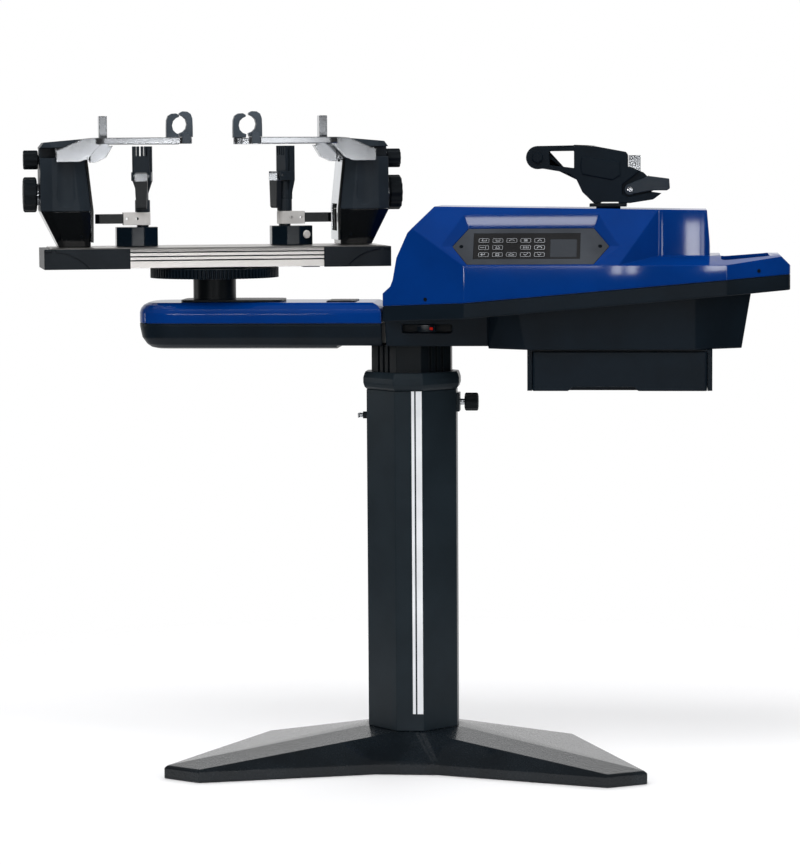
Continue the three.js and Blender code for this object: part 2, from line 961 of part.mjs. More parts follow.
function bayTool(from, to) {
  return block([bay.left, -bay.halfDepth, from], [bay.right, bay.halfDepth, to]);
}

// The front face's distance from the middle at a height above the ridge
function faceDepth(height) {
  const share = (height - housing.ridge) / (housing.topLeft - housing.ridge);
  return THREE.MathUtils.lerp(housing.halfDepth, housing.topHalfDepth, share);
}

// Places a geometry drawn on the panel's own plane onto the slanted front
function ontoPanel(geometry) {
  return geometry.rotateX(panelLean).translate(panel.left, -panelFootDepth, panelFoot);
}

function panelOutline() {
  const middle = panel.height / 2;
  return [
    [0, middle], [panel.apexInset, 0], [panel.width - panel.apexInset, 0],
    [panel.width, middle], [panel.width - panel.apexInset, panel.height], [panel.apexInset, panel.height],
  ];
}

// The recess of the panel: flush at its foot, with walls that widen to the housing's face
function panelRecess() {
  const onPlane = ([x, y], depth) => [
    panel.left + x,
    -panelFootDepth + y * Math.cos(panelLean) + depth * Math.sin(panelLean),
    panelFoot + y * Math.sin(panelLean) - depth * Math.cos(panelLean),
  ];
  const outline = offset(panelOutline(), clearance);
  const back = outline.map((p) => onPlane(p, panel.thickness + clearance));
  const front = outline.map((p) => onPlane(p, 0));
  const { openingApex, openingAside, openingRise } = panel;
  const moves = [
    [-openingApex, 0], [0, 0], [0, 0], [openingApex, 0],
    [openingAside, openingRise], [-openingAside, openingRise],
  ];
  const mouth = front.map(([x, y, z], i) => {
    const [aside, rise] = moves[i];
    const onFace = new THREE.Vector3(x + aside, -faceDepth(z + rise), z + rise);
    return new THREE.Vector3(x, y, z).lerp(onFace, openingReachShare).toArray();
  });
  return loft([back, front, mouth]);
}

function housingUpper() {
  const top = housing.topLeft + overrun;
  const slotTool = block([slot.left, -slot.halfWidth, bay.top - overrun], [slot.right, slot.halfWidth, top]);
  return cut(upperForm(), scoopTool(), trayTool(), bayTool(0, bay.top), slotTool, panelRecess());
}

// Lower shell: a band under the split, a drafted tub and a set-back boot for the switch
function tubPlan(drop) {
  const left = housing.tubLeft + drop * housing.tubLeftSlope;
  const right = housing.tubRight - drop * housing.tubRightSlope;
  const depth = tubHalfDepth - drop * housing.tubDraft;
  const end = housing.tubEndHalfDepth - drop * housing.tubDraft;
  const boot = housing.bootHalfDepth - drop * housing.bootDraft;
  return [
    [right, -end], [right, end], [housing.tubCorner, depth], [left, depth],
    [housing.tubStart, boot], [housing.tubStart, -boot], [left, -depth], [housing.tubCorner, -depth],
  ];
}

function bootPlan(drop) {
  const depth = housing.bootHalfDepth - drop * housing.bootDraft;
  return rectangle(housing.left + drop * housing.bootDraft, -depth, housing.tubStart + overrun, depth);
}

// Room for the inlet's body and for its flange in the back of the tub
function inletTools() {
  const landing = tubHalfDepth - inlet.landing;
  const room = (margin, from, to) => block(
    [inlet.centre - inlet.halfWidth - margin, from, inlet.height - inlet.halfHeight - margin],
    [inlet.centre + inlet.halfWidth + margin, to, inlet.height + inlet.halfHeight + margin],
  );
  return [
    room(inlet.flangeMargin + clearance, landing, tubHalfDepth + overrun),
    room(clearance, landing - inlet.depth - clearance, landing + overrun),
  ];
}

function switchTool() {
  const outline = rectangle(
    rocker.centre - rocker.pocketHalfLength, rocker.height - rocker.pocketHalfHeight,
    rocker.centre + rocker.pocketHalfLength, rocker.height + rocker.pocketHalfHeight,
  );
  const mouth = -housing.bootHalfDepth;
  return sidePrism(rounded(outline, rocker.pocketHalfHeight / 2), mouth - overrun, mouth + rocker.pocketDepth);
}

function housingLower() {
  const past = housing.halfDepth + overrun;
  const band = common(
    sidePrism([...seamAt(0), ...seamAt(-housing.bandHeight).reverse()], -past, past),
    prism(housingPlan(), 0, housing.seamRight + overrun),
  );
  const tub = loft([ringAt(tubPlan(1), housing.bottom), ringAt(tubPlan(0), housing.seamRight)]);
  const boot = loft([ringAt(bootPlan(1), arm.stepHeight), ringAt(bootPlan(0), housing.seamRight)]);
  const underBand = [...seamAt(-housing.bandHeight / 2), [housing.right, -overrun], [housing.left, -overrun]];
  const lower = common(join(tub, boot), sidePrism(underBand, -past, past));
  return cut(join(band, lower), bayTool(bay.floor, bay.top), switchTool(), ...inletTools());
}

function panelPlate() {
  const plate = prism(panelOutline(), -panel.thickness, 0);
  const window = block(
    [panel.windowLeft, panel.windowLow, -panel.windowDepth],
    [panel.windowLeft + panel.windowWidth, panel.windowLow + panel.windowHeight, overrun],
  );
  return ontoPanel(cut(plate, window));
}

// Membrane of raised key pads, with the middle pad left out, and a sunk display
function keypadOverlay() {
  const bottom = clearance - panel.windowDepth;
  const top = bottom + keypad.thickness;
  const left = panel.windowLeft + clearance;
  const low = panel.windowLow + clearance;
  const sheet = block(
    [left, low, bottom],
    [left + panel.windowWidth - 2 * clearance, low + panel.windowHeight - 2 * clearance, top],
  );
  const keys = [];
  const middle = [Math.floor(keypad.columns / 2), Math.floor(keypad.rows / 2)];
  for (let column = 0; column < keypad.columns; column += 1) {
    for (let row = 0; row < keypad.rows; row += 1) {
      if (column === middle[0] && row === middle[1]) continue;
      const x = left + keypad.left + column * keypad.pitchAlong;
      const y = low + keypad.low + row * keypad.pitchUp;
      const outline = rounded(rectangle(x, y, x + keypad.keyWidth, y + keypad.keyHeight), keypad.keyRadius, 2);
      keys.push(prism(outline, bottom, top + keypad.keyRise));
    }
  }
  const screen = block(
    [left + keypad.screenLeft, low + keypad.low, top - keypad.screenDepth],
    [left + keypad.screenLeft + keypad.screenWidth, low + keypad.low + keypad.screenHeight, top + overrun],
  );
  return ontoPanel(cut(join(sheet, ...keys), screen));
}

// Rocker switch, drawn about its pivot pin
function powerSwitch() {
  const crownShares = [[-1, -0.5], [-0.9, -1], [0, -0.78], [0.9, -1], [1, -0.5], [0.45, 0.2], [-0.45, 0.2]];
  const outline = crownShares.map(([along, out]) => [along * rocker.halfLength, out * rocker.depth]);
  const pinEnd = rocker.pocketHalfHeight - clearance;
  return join(prism(outline, -rocker.halfHeight, rocker.halfHeight), rod(rocker.pinRadius, -pinEnd, pinEnd));
}

function powerInlet() {
  const rim = inlet.flangeMargin;
  const body = block(
    [-inlet.halfWidth, -inlet.depth, -inlet.halfHeight],
    [inlet.halfWidth, clearance + inlet.flange / 2, inlet.halfHeight],
  );
  const flange = block(
    [-inlet.halfWidth - rim, clearance, -inlet.halfHeight - rim],
    [inlet.halfWidth + rim, clearance + inlet.flange, inlet.halfHeight + rim],
  );
  const corner = inlet.socketHalfHeight / 2;
  const outline = [
    [-inlet.socketHalfWidth, -inlet.socketHalfHeight], [inlet.socketHalfWidth, -inlet.socketHalfHeight],
    [inlet.socketHalfWidth, inlet.socketHalfHeight - corner],
    [inlet.socketHalfWidth - corner, inlet.socketHalfHeight],
    [corner - inlet.socketHalfWidth, inlet.socketHalfHeight],
    [-inlet.socketHalfWidth, inlet.socketHalfHeight - corner],
  ];
  const mouth = clearance + inlet.flange;
  return cut(join(body, flange), sidePrism(outline, mouth - inlet.socketDepth, mouth + overrun));
}

// Drawer drawn about its own left, front, lower corner
function toolDrawer() {
  const { width, length, height, wall, grooveRise, grooveHeight, grooveDepth } = drawer;
  const outline = rounded(rectangle(0, 0, width, length), drawer.radius);
  const bore = rounded(rectangle(wall, wall, width - wall, length - wall), drawer.radius - wall / 2);
  const grooves = [-overrun, width - grooveDepth].map((x) => block(
    [x, drawer.plateFront, grooveRise],
    [x + grooveDepth + overrun, length + overrun, grooveRise + grooveHeight],
  ));
  const notch = sidePrism(fromShares(
    [[0, -1], [1, -1], [1, 0], [0.94, 1], [0.06, 1], [0, 0]],
    drawer.notchLeft, 0, drawer.notchWidth, drawer.notchRise,
  ), -overrun, drawer.notchDepth);
  const ramp = block(
    [drawer.notchLeft - wall, wall / 2, drawer.floor / 2],
    [drawer.notchLeft + drawer.notchWidth + wall, drawer.notchDepth + wall, drawer.notchRise + drawer.floor],
  );
  const box = cut(prism(outline, 0, height), prism(bore, drawer.floor, height + overrun));
  return cut(join(box, ramp), ...grooves, notch);
}

// Cradle under the housing: two side plates with runner ribs, joined by a lid
function drawerCradle() {
  const top = housing.bottom - clearance;
  const lidBottom = top - drawer.lid;
  const low = lidBottom - clearance - drawer.height;
  const front = drawer.front + drawer.plateFront;
  const back = drawer.front + drawer.length;
  const ribLow = low + drawer.grooveRise + clearance;
  const ribHigh = low + drawer.grooveRise + drawer.grooveHeight - clearance;
  const middle = drawer.left + drawer.width / 2;
  const plates = [-1, 1].map((side) => {
    const face = drawer.width / 2 + slideGap;
    const [x0, x1] = ordered(middle + side * face, middle + side * (face + drawer.plate));
    const ribInner = drawer.width / 2 - drawer.grooveDepth + clearance;
    const [r0, r1] = ordered(middle + side * ribInner, middle + side * (face + clearance));
    const plate = block([x0, front, low], [x1, back, top]);
    return join(plate, block([r0, front + overrun, ribLow], [r1, back, ribHigh]));
  });
  const lidEnd = drawer.width / 2 + drawer.plate;
  const lid = block([middle - lidEnd, front, lidBottom], [middle + lidEnd, back, top]);
  return join(lid, ...plates);
}

// Drive: a channel with two bearing pillars, the lead screw and its motor
function tensionRail() {
  const inner = rail.halfWidth - rail.wall;
  const channel = endPrism([
    [-rail.halfWidth, railBottom], [-inner, railBottom],
    [-inner, railTop - rail.wall], [inner, railTop - rail.wall],
    [inner, railBottom], [rail.halfWidth, railBottom],
    [rail.halfWidth, railTop], [-rail.halfWidth, railTop],
  ], rail.left, rail.right);
  const pillars = [rail.left, rail.right - rail.pillar].map((x) => block(
    [x, -rail.pillarHalfWidth, railTop - clearance],
    [x + rail.pillar, rail.pillarHalfWidth, railTop + rail.pillarHeight],
  ));
  const bore = alongX(rod(screw.journal + clearance, rail.left - overrun, rail.right + overrun));
  return cut(join(channel, ...pillars), bore.translate(0, 0, screwHeight));
}

function driveScrew() {
  const journal = rod(screw.journal, rail.left - screw.overhang, rail.right - clearance);
  const thread = rod(screw.radius, rail.left + rail.pillar + clearance, rail.right - rail.pillar - clearance);
  return alongX(join(journal, thread));
}

function driveMotor() {
  const faceLeft = motor.left + motor.canLength;
  const can = alongX(rod(motor.radius, motor.left, faceLeft + motor.faceLength / 2, fineSides));
  can.translate(0, 0, screwHeight);
  const shaftEnd = rail.left - screw.overhang - clearance;
  const shaft = alongX(rod(motor.shaftRadius, faceLeft, shaftEnd)).translate(0, 0, screwHeight);
  const face = block(
    [faceLeft, -motor.faceHalfWidth, railBottom],
    [faceLeft + motor.faceLength, motor.faceHalfWidth, railBottom + motor.faceHeight],
  );
  return join(can, face, shaft);
}

// Carriage: a nut block on the channel, a stem through the slot and a base plate on top
function carriagePiece() {
  const top = head.baseRise + head.baseThickness;
  const part = (halfLength, halfWidth, from, to) => (
    block([-halfLength, -halfWidth, from], [halfLength, halfWidth, to])
  );
  const boreReach = head.baseHalfLength + overrun;
  const bore = alongX(rod(screw.radius + clearance, -boreReach, boreReach));
  return cut(join(
    part(head.blockHalfLength, head.blockHalfWidth, railTop + clearance, railTop + rail.pillarHeight),
    part(head.stemHalfLength, head.stemHalfWidth, screwHeight, top),
    part(head.baseHalfLength, head.baseHalfWidth, head.baseRise, top),
  ), bore.translate(0, 0, screwHeight));
}

// Tension head, drawn from the tip of its nose and from its foot
const headTopShares = [[0.33, 1], [0.467, 0.986], [0.683, 0.883], [0.698, 0.833], [0.698, 0.625]];
const headLowShares = [
  [0.86, 0.19], [0.928, 0.165], [0.873, 0.061], [0.713, 0],
  [0.467, 0], [0.387, 0.194], [0.348, 0.403], [0.33, 0.45],
];
const headEndTurns = [52, 38, 24, 10, -5];
const forkTopShares = [[0.34, 1], [0.116, 0.993]];
const forkLowShares = [[0.116, 0.6], [0.226, 0.553], [0.3, 0.5], [0.34, 0.42]];
const windowShares = [[0.16, 0.9], [0.335, 0.903], [0.335, 0.604], [0.165, 0.66]];
const sidePanelShares = [
  [0.387, 0.8], [0.643, 0.712], [0.646, 0.482], [0.594, 0.403], [0.555, 0.422], [0.387, 0.503], [0.376, 0.643],
];
const paddleShares = [[0.981, 0.417], [0.986, 0.25], [0.967, 0.215]];
const paddleTurns = [-3, 8, 22, 37];
const cheekShares = [[0.7, 0.325], [0.836, 0.46], [0.88, 0.4], [0.88, 0.222], [0.7, 0.145]];
const leverRoomShares = [
  [0.66, 0.32], [0.78, 0.56], [0.9, 0.56], [0.9, 0.18], [0.85, 0.18], [0.7, 0.1], [0.66, 0.15],
];

const headPoints = (shares) => fromShares(shares, 0, 0, head.length, head.height);

const headDisc = (radius, along, up, from, to, sides = fineSides) => (
  alongY(rod(radius, from, to, sides)).translate(along, 0, up)
);

function headFork() {
  const { halfWidth, cheek, wheelAlong, wheelHeight } = head;
  const noseTurns = Array.from({ length: smallSides + 1 }, (_, i) => 90 + 180 * i / smallSides);
  const nose = arcPoints(wheelAlong, wheelHeight, head.wheelRadius, noseTurns);
  const outline = [...headPoints(forkTopShares), ...nose, ...headPoints(forkLowShares)];
  const boltEnd = halfWidth + head.boltHead;
  return [-1, 1].map((side) => {
    const [from, to] = ordered(side * halfWidth, side * (halfWidth - cheek));
    const arms = cut(
      sidePrism(outline, from, to),
      sidePrism(headPoints(windowShares), from - overrun, to + overrun),
    );
    const boltSpan = ordered(side * boltEnd, side * (halfWidth - clearance));
    const bolt = headDisc(head.boltRadius, wheelAlong, wheelHeight, ...boltSpan, 6);
    return join(arms, bolt);
  });
}

function headShell() {
  const { halfWidth, leverWall, pivotAlong, pivotHeight } = head;
  const wide = halfWidth + head.panelDepth;
  const end = arcPoints(pivotAlong, pivotHeight, head.leverReach - slideGap - slideGap, headEndTurns);
  const outline = [...headPoints(headTopShares), ...end, ...headPoints(headLowShares)];
  const underGap = block(
    [head.centre - head.nose - head.footGapLeft, -wide - overrun, -overrun],
    [head.centre - head.nose + head.footGapRight, wide + overrun, head.footGap],
  );
  const leverRooms = [-1, 1].map((side) => sidePrism(
    headPoints(leverRoomShares),
    ...ordered(side * (halfWidth - leverWall - clearance), side * (wide + overrun)),
  ));
  return cut(
    join(sidePrism(outline, -halfWidth, halfWidth), sidePrism(headPoints(sidePanelShares), -wide, wide)),
    ...leverRooms,
    underGap,
  );
}

function headBody() {
  const { halfWidth, wheelAlong, wheelHeight, axleRadius, pivotAlong, pivotHeight } = head;
  const axle = headDisc(axleRadius, wheelAlong, wheelHeight, -halfWidth, halfWidth, smallSides);
  const pin = headDisc(axleRadius, pivotAlong, pivotHeight, -halfWidth, halfWidth, smallSides);
  const anvilFace = gripper.gap / 2;
  const anvil = sidePrism(gripperOutline(-gripper.seatDepth), anvilFace, anvilFace + gripper.thickness);
  return join(headShell(), ...headFork(), axle, pin, anvil);
}

// The outline of a gripper plate on the sloping shelf of the head
function gripperOutline(rise) {
  const fall = gripper.length * shelfSlopeShare;
  return [
    [gripper.along, gripper.low + rise],
    [gripper.along + gripper.length, gripper.low - fall + rise],
    [gripper.along + gripper.length, gripper.low + gripper.height],
    [gripper.along, gripper.low + gripper.height],
  ];
}

function noseWheel() {
  const half = head.halfWidth - head.cheek - slideGap;
  const bore = head.axleRadius + clearance;
  const { rollerRadius, rollerGroove } = head;
  return alongY(revolve([
    [bore, -half], [rollerRadius, -half], [rollerRadius, -half / 2], [rollerRadius - rollerGroove, 0],
    [rollerRadius, half / 2], [rollerRadius, half], [bore, half], [bore, -half],
  ]));
}

function triggerLever() {
  const { halfWidth, leverWall, pivotAlong, pivotHeight } = head;
  const inner = arcPoints(pivotAlong, pivotHeight, head.leverReach, paddleTurns);
  const paddle = sidePrism([...inner, ...headPoints(paddleShares)], -halfWidth, halfWidth);
  const cheeks = [-1, 1].map((side) => {
    const [from, to] = ordered(side * halfWidth, side * (halfWidth - leverWall));
    return join(
      sidePrism(headPoints(cheekShares), from, to),
      headDisc(head.pivotBoss, pivotAlong, pivotHeight, from, to),
    );
  });
  const past = halfWidth + overrun;
  const bore = headDisc(head.axleRadius + clearance, pivotAlong, pivotHeight, -past, past, smallSides);
  return cut(join(paddle, ...cheeks), bore).translate(-pivotAlong, 0, -pivotHeight);
}

function tensionHead() {
  const foot = head.baseRise + head.baseThickness + clearance;
  const wheel = piece('nose_wheel', noseWheel(), black);
  wheel.position.set(head.wheelAlong, 0, head.wheelHeight);
  const trigger = piece('trigger_lever', triggerLever(), black);
  trigger.position.set(head.pivotAlong, 0, head.pivotHeight);
  const moving = sidePrism(gripperOutline(clearance), -gripper.gap / 2 - gripper.thickness, -gripper.gap / 2);
  const carriage = piece('carriage', carriagePiece(), black);
  carriage.position.x = head.centre;
  const body = piece('head_body', headBody(), black);
  return [carriage, group(head.nose, 0, foot, body, wheel, trigger, piece('gripper_jaw', moving, steel))];
}

function deck() {
  const rockerPiece = piece('power_switch', powerSwitch(), glossBlack);
  const rockerDepth = rocker.pocketDepth - housing.bootHalfDepth - rocker.backRoom;
  rockerPiece.position.set(rocker.centre, rockerDepth, rocker.height);
  rockerPiece.rotation.z = -THREE.MathUtils.degToRad(rockerTilt);
  const inletPiece = piece('power_inlet', powerInlet(), black);
  inletPiece.position.set(inlet.centre, tubHalfDepth - inlet.landing, inlet.height);
  const drawerPiece = piece('tool_drawer', toolDrawer(), black);
  const drawerTop = housing.bottom - clearance - drawer.lid - clearance;
  drawerPiece.position.set(drawer.left, drawer.front, drawerTop - drawer.height);
  return group(
    0, 0, deckLevel,
    piece('arm_lower', armLower(), black),
    piece('arm_upper', armUpper(), blue),
    piece('housing_lower', housingLower(), black),
    piece('housing_upper', housingUpper(), blue),
    piece('panel_plate', panelPlate(), grey),
    piece('keypad_overlay', keypadOverlay(), glossBlack),
    rockerPiece,
    inletPiece,
    drawerPiece,
    piece('drawer_cradle', drawerCradle(), satinBlack),
    piece('tension_rail', tensionRail(), steel),
    piece('drive_screw', driveScrew().translate(0, 0, screwHeight), steel),
    piece('drive_motor', driveMotor(), satinBlack),
    ...tensionHead(),
  );
}

// Turntable post with its oblong brake plate and the spindle
function turntablePost() {
  const plate = rounded(
    rectangle(-turntable.plateLeft, -turntable.plateHalfWidth, turntable.plateRight, turntable.plateHalfWidth),
    turntable.plateHalfWidth / 2,
  );
  return join(
    prism(plate, 0, turntable.plateThickness),
    rod(turntable.postRadius, 0, turntable.postRise, fineSides),
    rod(turntable.spindleRadius, 0, beamBottom - clearance),
  );
}

// Gear ring: straight teeth with sloping flanks round a disc, and a hub for the beam
function gearRing() {
  const { gearRadius, toothDepth, teeth } = turntable;
  const root = gearRadius - toothDepth;
  const toothShares = [[0, root], [0.34, root], [0.5, gearRadius], [0.84, gearRadius]];
  const outline = Array.from({ length: teeth }, (_, tooth) => toothShares.map(([share, radius]) => {
    const turn = 2 * Math.PI * (tooth + share) / teeth;
    return [radius * Math.cos(turn), radius * Math.sin(turn)];
  })).flat();
  const top = gearBottom + turntable.gearThickness;
  const hub = rod(turntable.hubRadius, gearBottom, top + turntable.hubHeight, fineSides);
  const bore = rod(turntable.spindleRadius + clearance, gearBottom - overrun, top + overrun);
  return cut(join(prism(outline, gearBottom, top), hub), bore);
}

// Half of the rail's section, from the middle of its underside to the middle of its slot
function beamHalfSection() {
  const { halfWidth, height, shoulder, grooveDepth, grooveWidth } = beam;
  const grooves = [...grooveDropShares].reverse().flatMap((share) => {
    const middle = height * (1 - share);
    const low = middle - grooveWidth / 2;
    const high = middle + grooveWidth / 2;
    const inner = halfWidth - grooveDepth;
    return [[halfWidth, low], [inner, low], [inner, high], [halfWidth, high]];
  });
  const shoulderShares = [[0, 1], [0.1, 0.5], [0.5, 0.1], [1, 0]];
  const roundOver = shoulderShares.map(([inset, drop]) => (
    [halfWidth - inset * shoulder, height - drop * shoulder]
  ));
  return [
    [halfWidth, 0], ...grooves, ...roundOver,
    [beam.slotHalfWidth, height], [beam.slotHalfWidth, height - beam.slotLip],
    [beam.slotUndercut, height - beam.slotLip], [beam.slotUndercut, height - beam.slotDepth],
  ];
}

function beamPiece() {
  const half = beamHalfSection();
  const other = half.map(([y, z]) => [-y, z]).reverse();
  return endPrism([...half, ...other], -beam.halfLength, beam.halfLength).translate(0, 0, beamBottom);
}

// End cap: covers the end and wraps both flanks, with a sunk arc and a groove
function beamCap(cover) {
  const inside = beam.halfWidth + clearance;
  const outside = inside + cap.thickness;
  const start = beam.halfLength - cover;
  const end = beam.halfLength + clearance + cap.endPlate;
  const low = -cap.skirt;
  const high = beam.height - cap.drop;
  const plan = [[start, -outside, 0], [end, -outside], [end, outside], [start, outside, 0]];
  const shell = prism(rounded(plan, cap.thickness), low, high);
  const room = block(
    [start - overrun, -inside, low - overrun],
    [beam.halfLength + clearance, inside, high + overrun],
  );
  const tools = [room];
  for (const side of [-1, 1]) {
    const grooveEnds = ordered(side * (outside - cap.scoopDepth), side * (outside + overrun));
    tools.push(block(
      [beam.halfLength - cap.groove, grooveEnds[0], low - overrun],
      [beam.halfLength, grooveEnds[1], high + overrun],
    ));
    const arc = alongY(rod(cap.scoopRadius, ...grooveEnds, 2 * fineSides));
    tools.push(arc.translate(beam.halfLength, 0, -cap.scoopSink));
  }
  return cut(shell, ...tools).translate(0, 0, beamBottom);
}

// The T-shaped foot that slides in the beam's slot, along X about a middle
function slideFoot(middle, halfLength) {
  const neckHalf = beam.slotHalfWidth - clearance;
  const footHalf = beam.slotUndercut - slideGap;
  const from = middle - halfLength;
  const to = middle + halfLength;
  return join(
    block([from, -neckHalf, -beam.slotLip - 2 * slideGap], [to, neckHalf, slideGap + clearance]),
    block([from, -footHalf, slideGap - beam.slotDepth], [to, footHalf, -beam.slotLip - clearance]),
  );
}

// Recess in the inner face of a tower that takes the tip of a clamp's lock lever
function leverRecess() {
  const face = tower.inner - overrun;
  return block(
    [face, -facePlate.slotHalfWidth, facePlate.slotLow],
    [tower.inner + facePlate.slotDepth, facePlate.slotHalfWidth, facePlate.slotHigh],
  );
}

function towerLower() {
  const outer = tower.inner + tower.width;
  const foot = chamfered(
    tower.inner + tower.footInset, outer - tower.footOuterInset, tower.footHalfDepth,
    tower.chamferAlong / 2, tower.chamferAcross / 2,
  );
  const top = chamfered(tower.inner, outer, tower.halfDepth, tower.chamferAlong, tower.chamferAcross);
  const casing = loft([ringAt(foot, slideGap), ringAt(top, tower.seam - clearance)]);
  const middle = tower.inner + tower.footInset + tower.slideFootHalfLength;
  return cut(join(casing, slideFoot(middle, tower.slideFootHalfLength)), leverRecess());
}

// Half-round channel in a flank of the upper casing, with a round bottom end
function channelTool(centre, side) {
  const { channelRadius, channelBottom, channelDepth, shoulder } = tower;
  const quarter = arcPoints(0, channelBottom, channelRadius, [-90, -60, -30, 0]);
  const profile = [...quarter, [channelRadius, shoulder], [0, shoulder]].map(([x, y]) => [Math.max(x, 0), y]);
  const axis = tower.halfDepth + channelRadius - channelDepth;
  return revolve(profile, smallSides).translate(centre, side * axis, 0);
}

// Upper casing with its cover, the pocket for the arms' hubs and a shaft well
function towerUpper() {
  const outer = tower.inner + tower.width;
  const innerTop = tower.inner + tower.shoulderInset;
  const section = (inner, halfDepth) => (
    chamfered(inner, outer, halfDepth, tower.chamferAlong, tower.chamferAcross)
  );
  const coverBottom = tower.shoulder + tower.pocket;
  const crown = chamfered(
    innerTop + tower.coverInset, outer - tower.coverInset, tower.shoulderHalfDepth - tower.coverInset,
    tower.chamferAlong / 2, tower.chamferAcross / 2,
  ).map(([x, y]) => [x, y, tower.coverRise - tower.coverFall * (x - innerTop) / (outer - innerTop)]);
  const casing = loft([
    ringAt(section(tower.inner, tower.halfDepth), tower.seam),
    ringAt(section(innerTop, tower.shoulderHalfDepth), tower.shoulder),
    ringAt(section(innerTop, tower.shoulderHalfDepth), coverBottom),
    crown,
  ]);
  const centre = tower.inner + tower.width / 2;
  const tools = [-1, 1].flatMap((side) => {
    const [y0, y1] = ordered(side * tower.coreHalfDepth, side * (tower.halfDepth + overrun));
    const pocket = block([tower.inner - overrun, y0, tower.shoulder], [outer + overrun, y1, coverBottom]);
    return [pocket, channelTool(centre, side)];
  });
  const well = block(
    [innerTop + tower.wall, -tower.shaftWellHalfDepth, tower.shaftWellLow],
    [outer - tower.wall, tower.shaftWellHalfDepth, coverBottom],
  );
  const mouth = block(
    [tower.inner - overrun, -support.tongueHalfDepth - clearance, support.tongueLow - slideGap],
    [innerTop + tower.wall + overrun, support.tongueHalfDepth + clearance, support.tongueHigh + slideGap],
  );
  const bores = [[bigKnob, outer], [smallKnob, outer]].map(([knob, end]) => (
    alongX(rod(knob.shaftRadius + clearance, end - tower.wall - overrun, end + overrun))
      .translate(0, 0, knob.rise)
  ));
  return cut(casing, ...tools, well, mouth, leverRecess(), ...bores);
}

// Bright plate on the tower's inner face, bent at the split line
function towerFacePlate() {
  const { thickness, low, high } = facePlate;
  const innerTop = tower.inner + tower.shoulderInset * (high - tower.seam) / (tower.shoulder - tower.seam);
  const footFace = tower.inner + tower.footInset * (1 - low / tower.seam);
  const inset = clearance + clearance / 2;
  const line = [[footFace, low], [tower.inner, tower.seam], [innerTop, high]].map(([x, z]) => [x - inset, z]);
  const outline = [...line, ...line.map(([x, z]) => [x - thickness, z]).reverse()];
  const slotTool = block(
    [tower.inner - thickness - overrun, -facePlate.slotHalfWidth, facePlate.slotLow],
    [innerTop + overrun, facePlate.slotHalfWidth, facePlate.slotHigh],
  );
  const mouth = block(
    [tower.inner - thickness - overrun, -support.postHalfDepth - slideGap, support.low - slideGap],
    [innerTop + overrun, support.postHalfDepth + slideGap, high + overrun],
  );
  return cut(sidePrism(outline, -facePlate.halfWidth, facePlate.halfWidth), slotTool, mouth);
}

// Centre support: a faceted bracket with a post, on a tongue and leg inside the tower
function centreSupport() {
  const bracket = sidePrism(
    fromShares(supportShares, support.tip, support.low, support.back - support.tip, support.high - support.low),
    -support.postHalfDepth, support.postHalfDepth,
  );
  const post = block(
    [support.postInner, -support.postHalfDepth, support.high - clearance],
    [support.postInner + support.postWidth, support.postHalfDepth, support.top],
  );
  const lip = block(
    [support.postInner - support.footLip, -support.postHalfDepth, support.high - clearance],
    [support.postInner, support.postHalfDepth, support.high + support.footRise],
  );
  const end = support.back + support.tongueReach;
  const inside = (from, low) => (
    block([from, -support.tongueHalfDepth, low], [end, support.tongueHalfDepth, support.tongueHigh])
  );
  const tongue = inside(support.back - clearance, support.tongueLow);
  const leg = inside(end - support.legWidth, support.legLow);
  const bore = alongX(rod(bigKnob.shaftRadius + clearance, tower.inner, tower.inner + tower.width));
  bore.translate(0, 0, bigKnob.rise);
  return cut(join(bracket, post, lip, tongue, leg), bore);
}

// Side arm: a hub in the tower's pocket, a curved blade and a bar out to the jaw
function sideArmPiece(side) {
  const { pivot: along, pivotAcross, hubRadius, linkHalfWidth, bladeAcross, bladeThickness } = sideArm;
  const low = tower.shoulder + clearance;
  const high = tower.shoulder + tower.pocket - clearance;
  const hub = rod(hubRadius, low, high, fineSides).translate(along, pivotAcross, 0);
  const link = block(
    [along - linkHalfWidth, pivotAcross, low],
    [along + linkHalfWidth, bladeAcross + clearance, high - slideGap],
  );
  const blade = sidePrism(
    fromShares(bladeShares, sideArm.bladeInner, sideArm.bladeLow, sideArm.bladeLength, sideArm.bladeHeight),
    bladeAcross, bladeAcross + bladeThickness,
  );
  const barTop = sideArm.bladeLow + sideArm.bladeHeight;
  const half = sideArm.barWidth / 2;
  const bar = prism([
    [sideArm.bladeInner + sideArm.barHeight, bladeAcross],
    [sideArm.bladeInner + sideArm.barHeight, bladeAcross + bladeThickness],
    [sideArm.elbow, sideArm.elbowAcross + half], [sideArm.jawAlong, sideArm.jawAcross + half],
    [sideArm.jawAlong, sideArm.jawAcross - half], [sideArm.elbow, sideArm.elbowAcross - half],
  ], barTop - sideArm.barHeight, barTop);
  const pad = rod(sideArm.padRadius, barTop - sideArm.barHeight, barTop, fineSides);
  const pin = rod(sideArm.pinRadius, barTop - clearance, barTop + sideArm.pinHeight);
  const end = join(pad, pin).translate(sideArm.jawAlong, sideArm.jawAcross, 0);
  return weld(join(hub, link, blade, bar, end).translate(-along, -pivotAcross, 0).scale(1, side, 1));
}

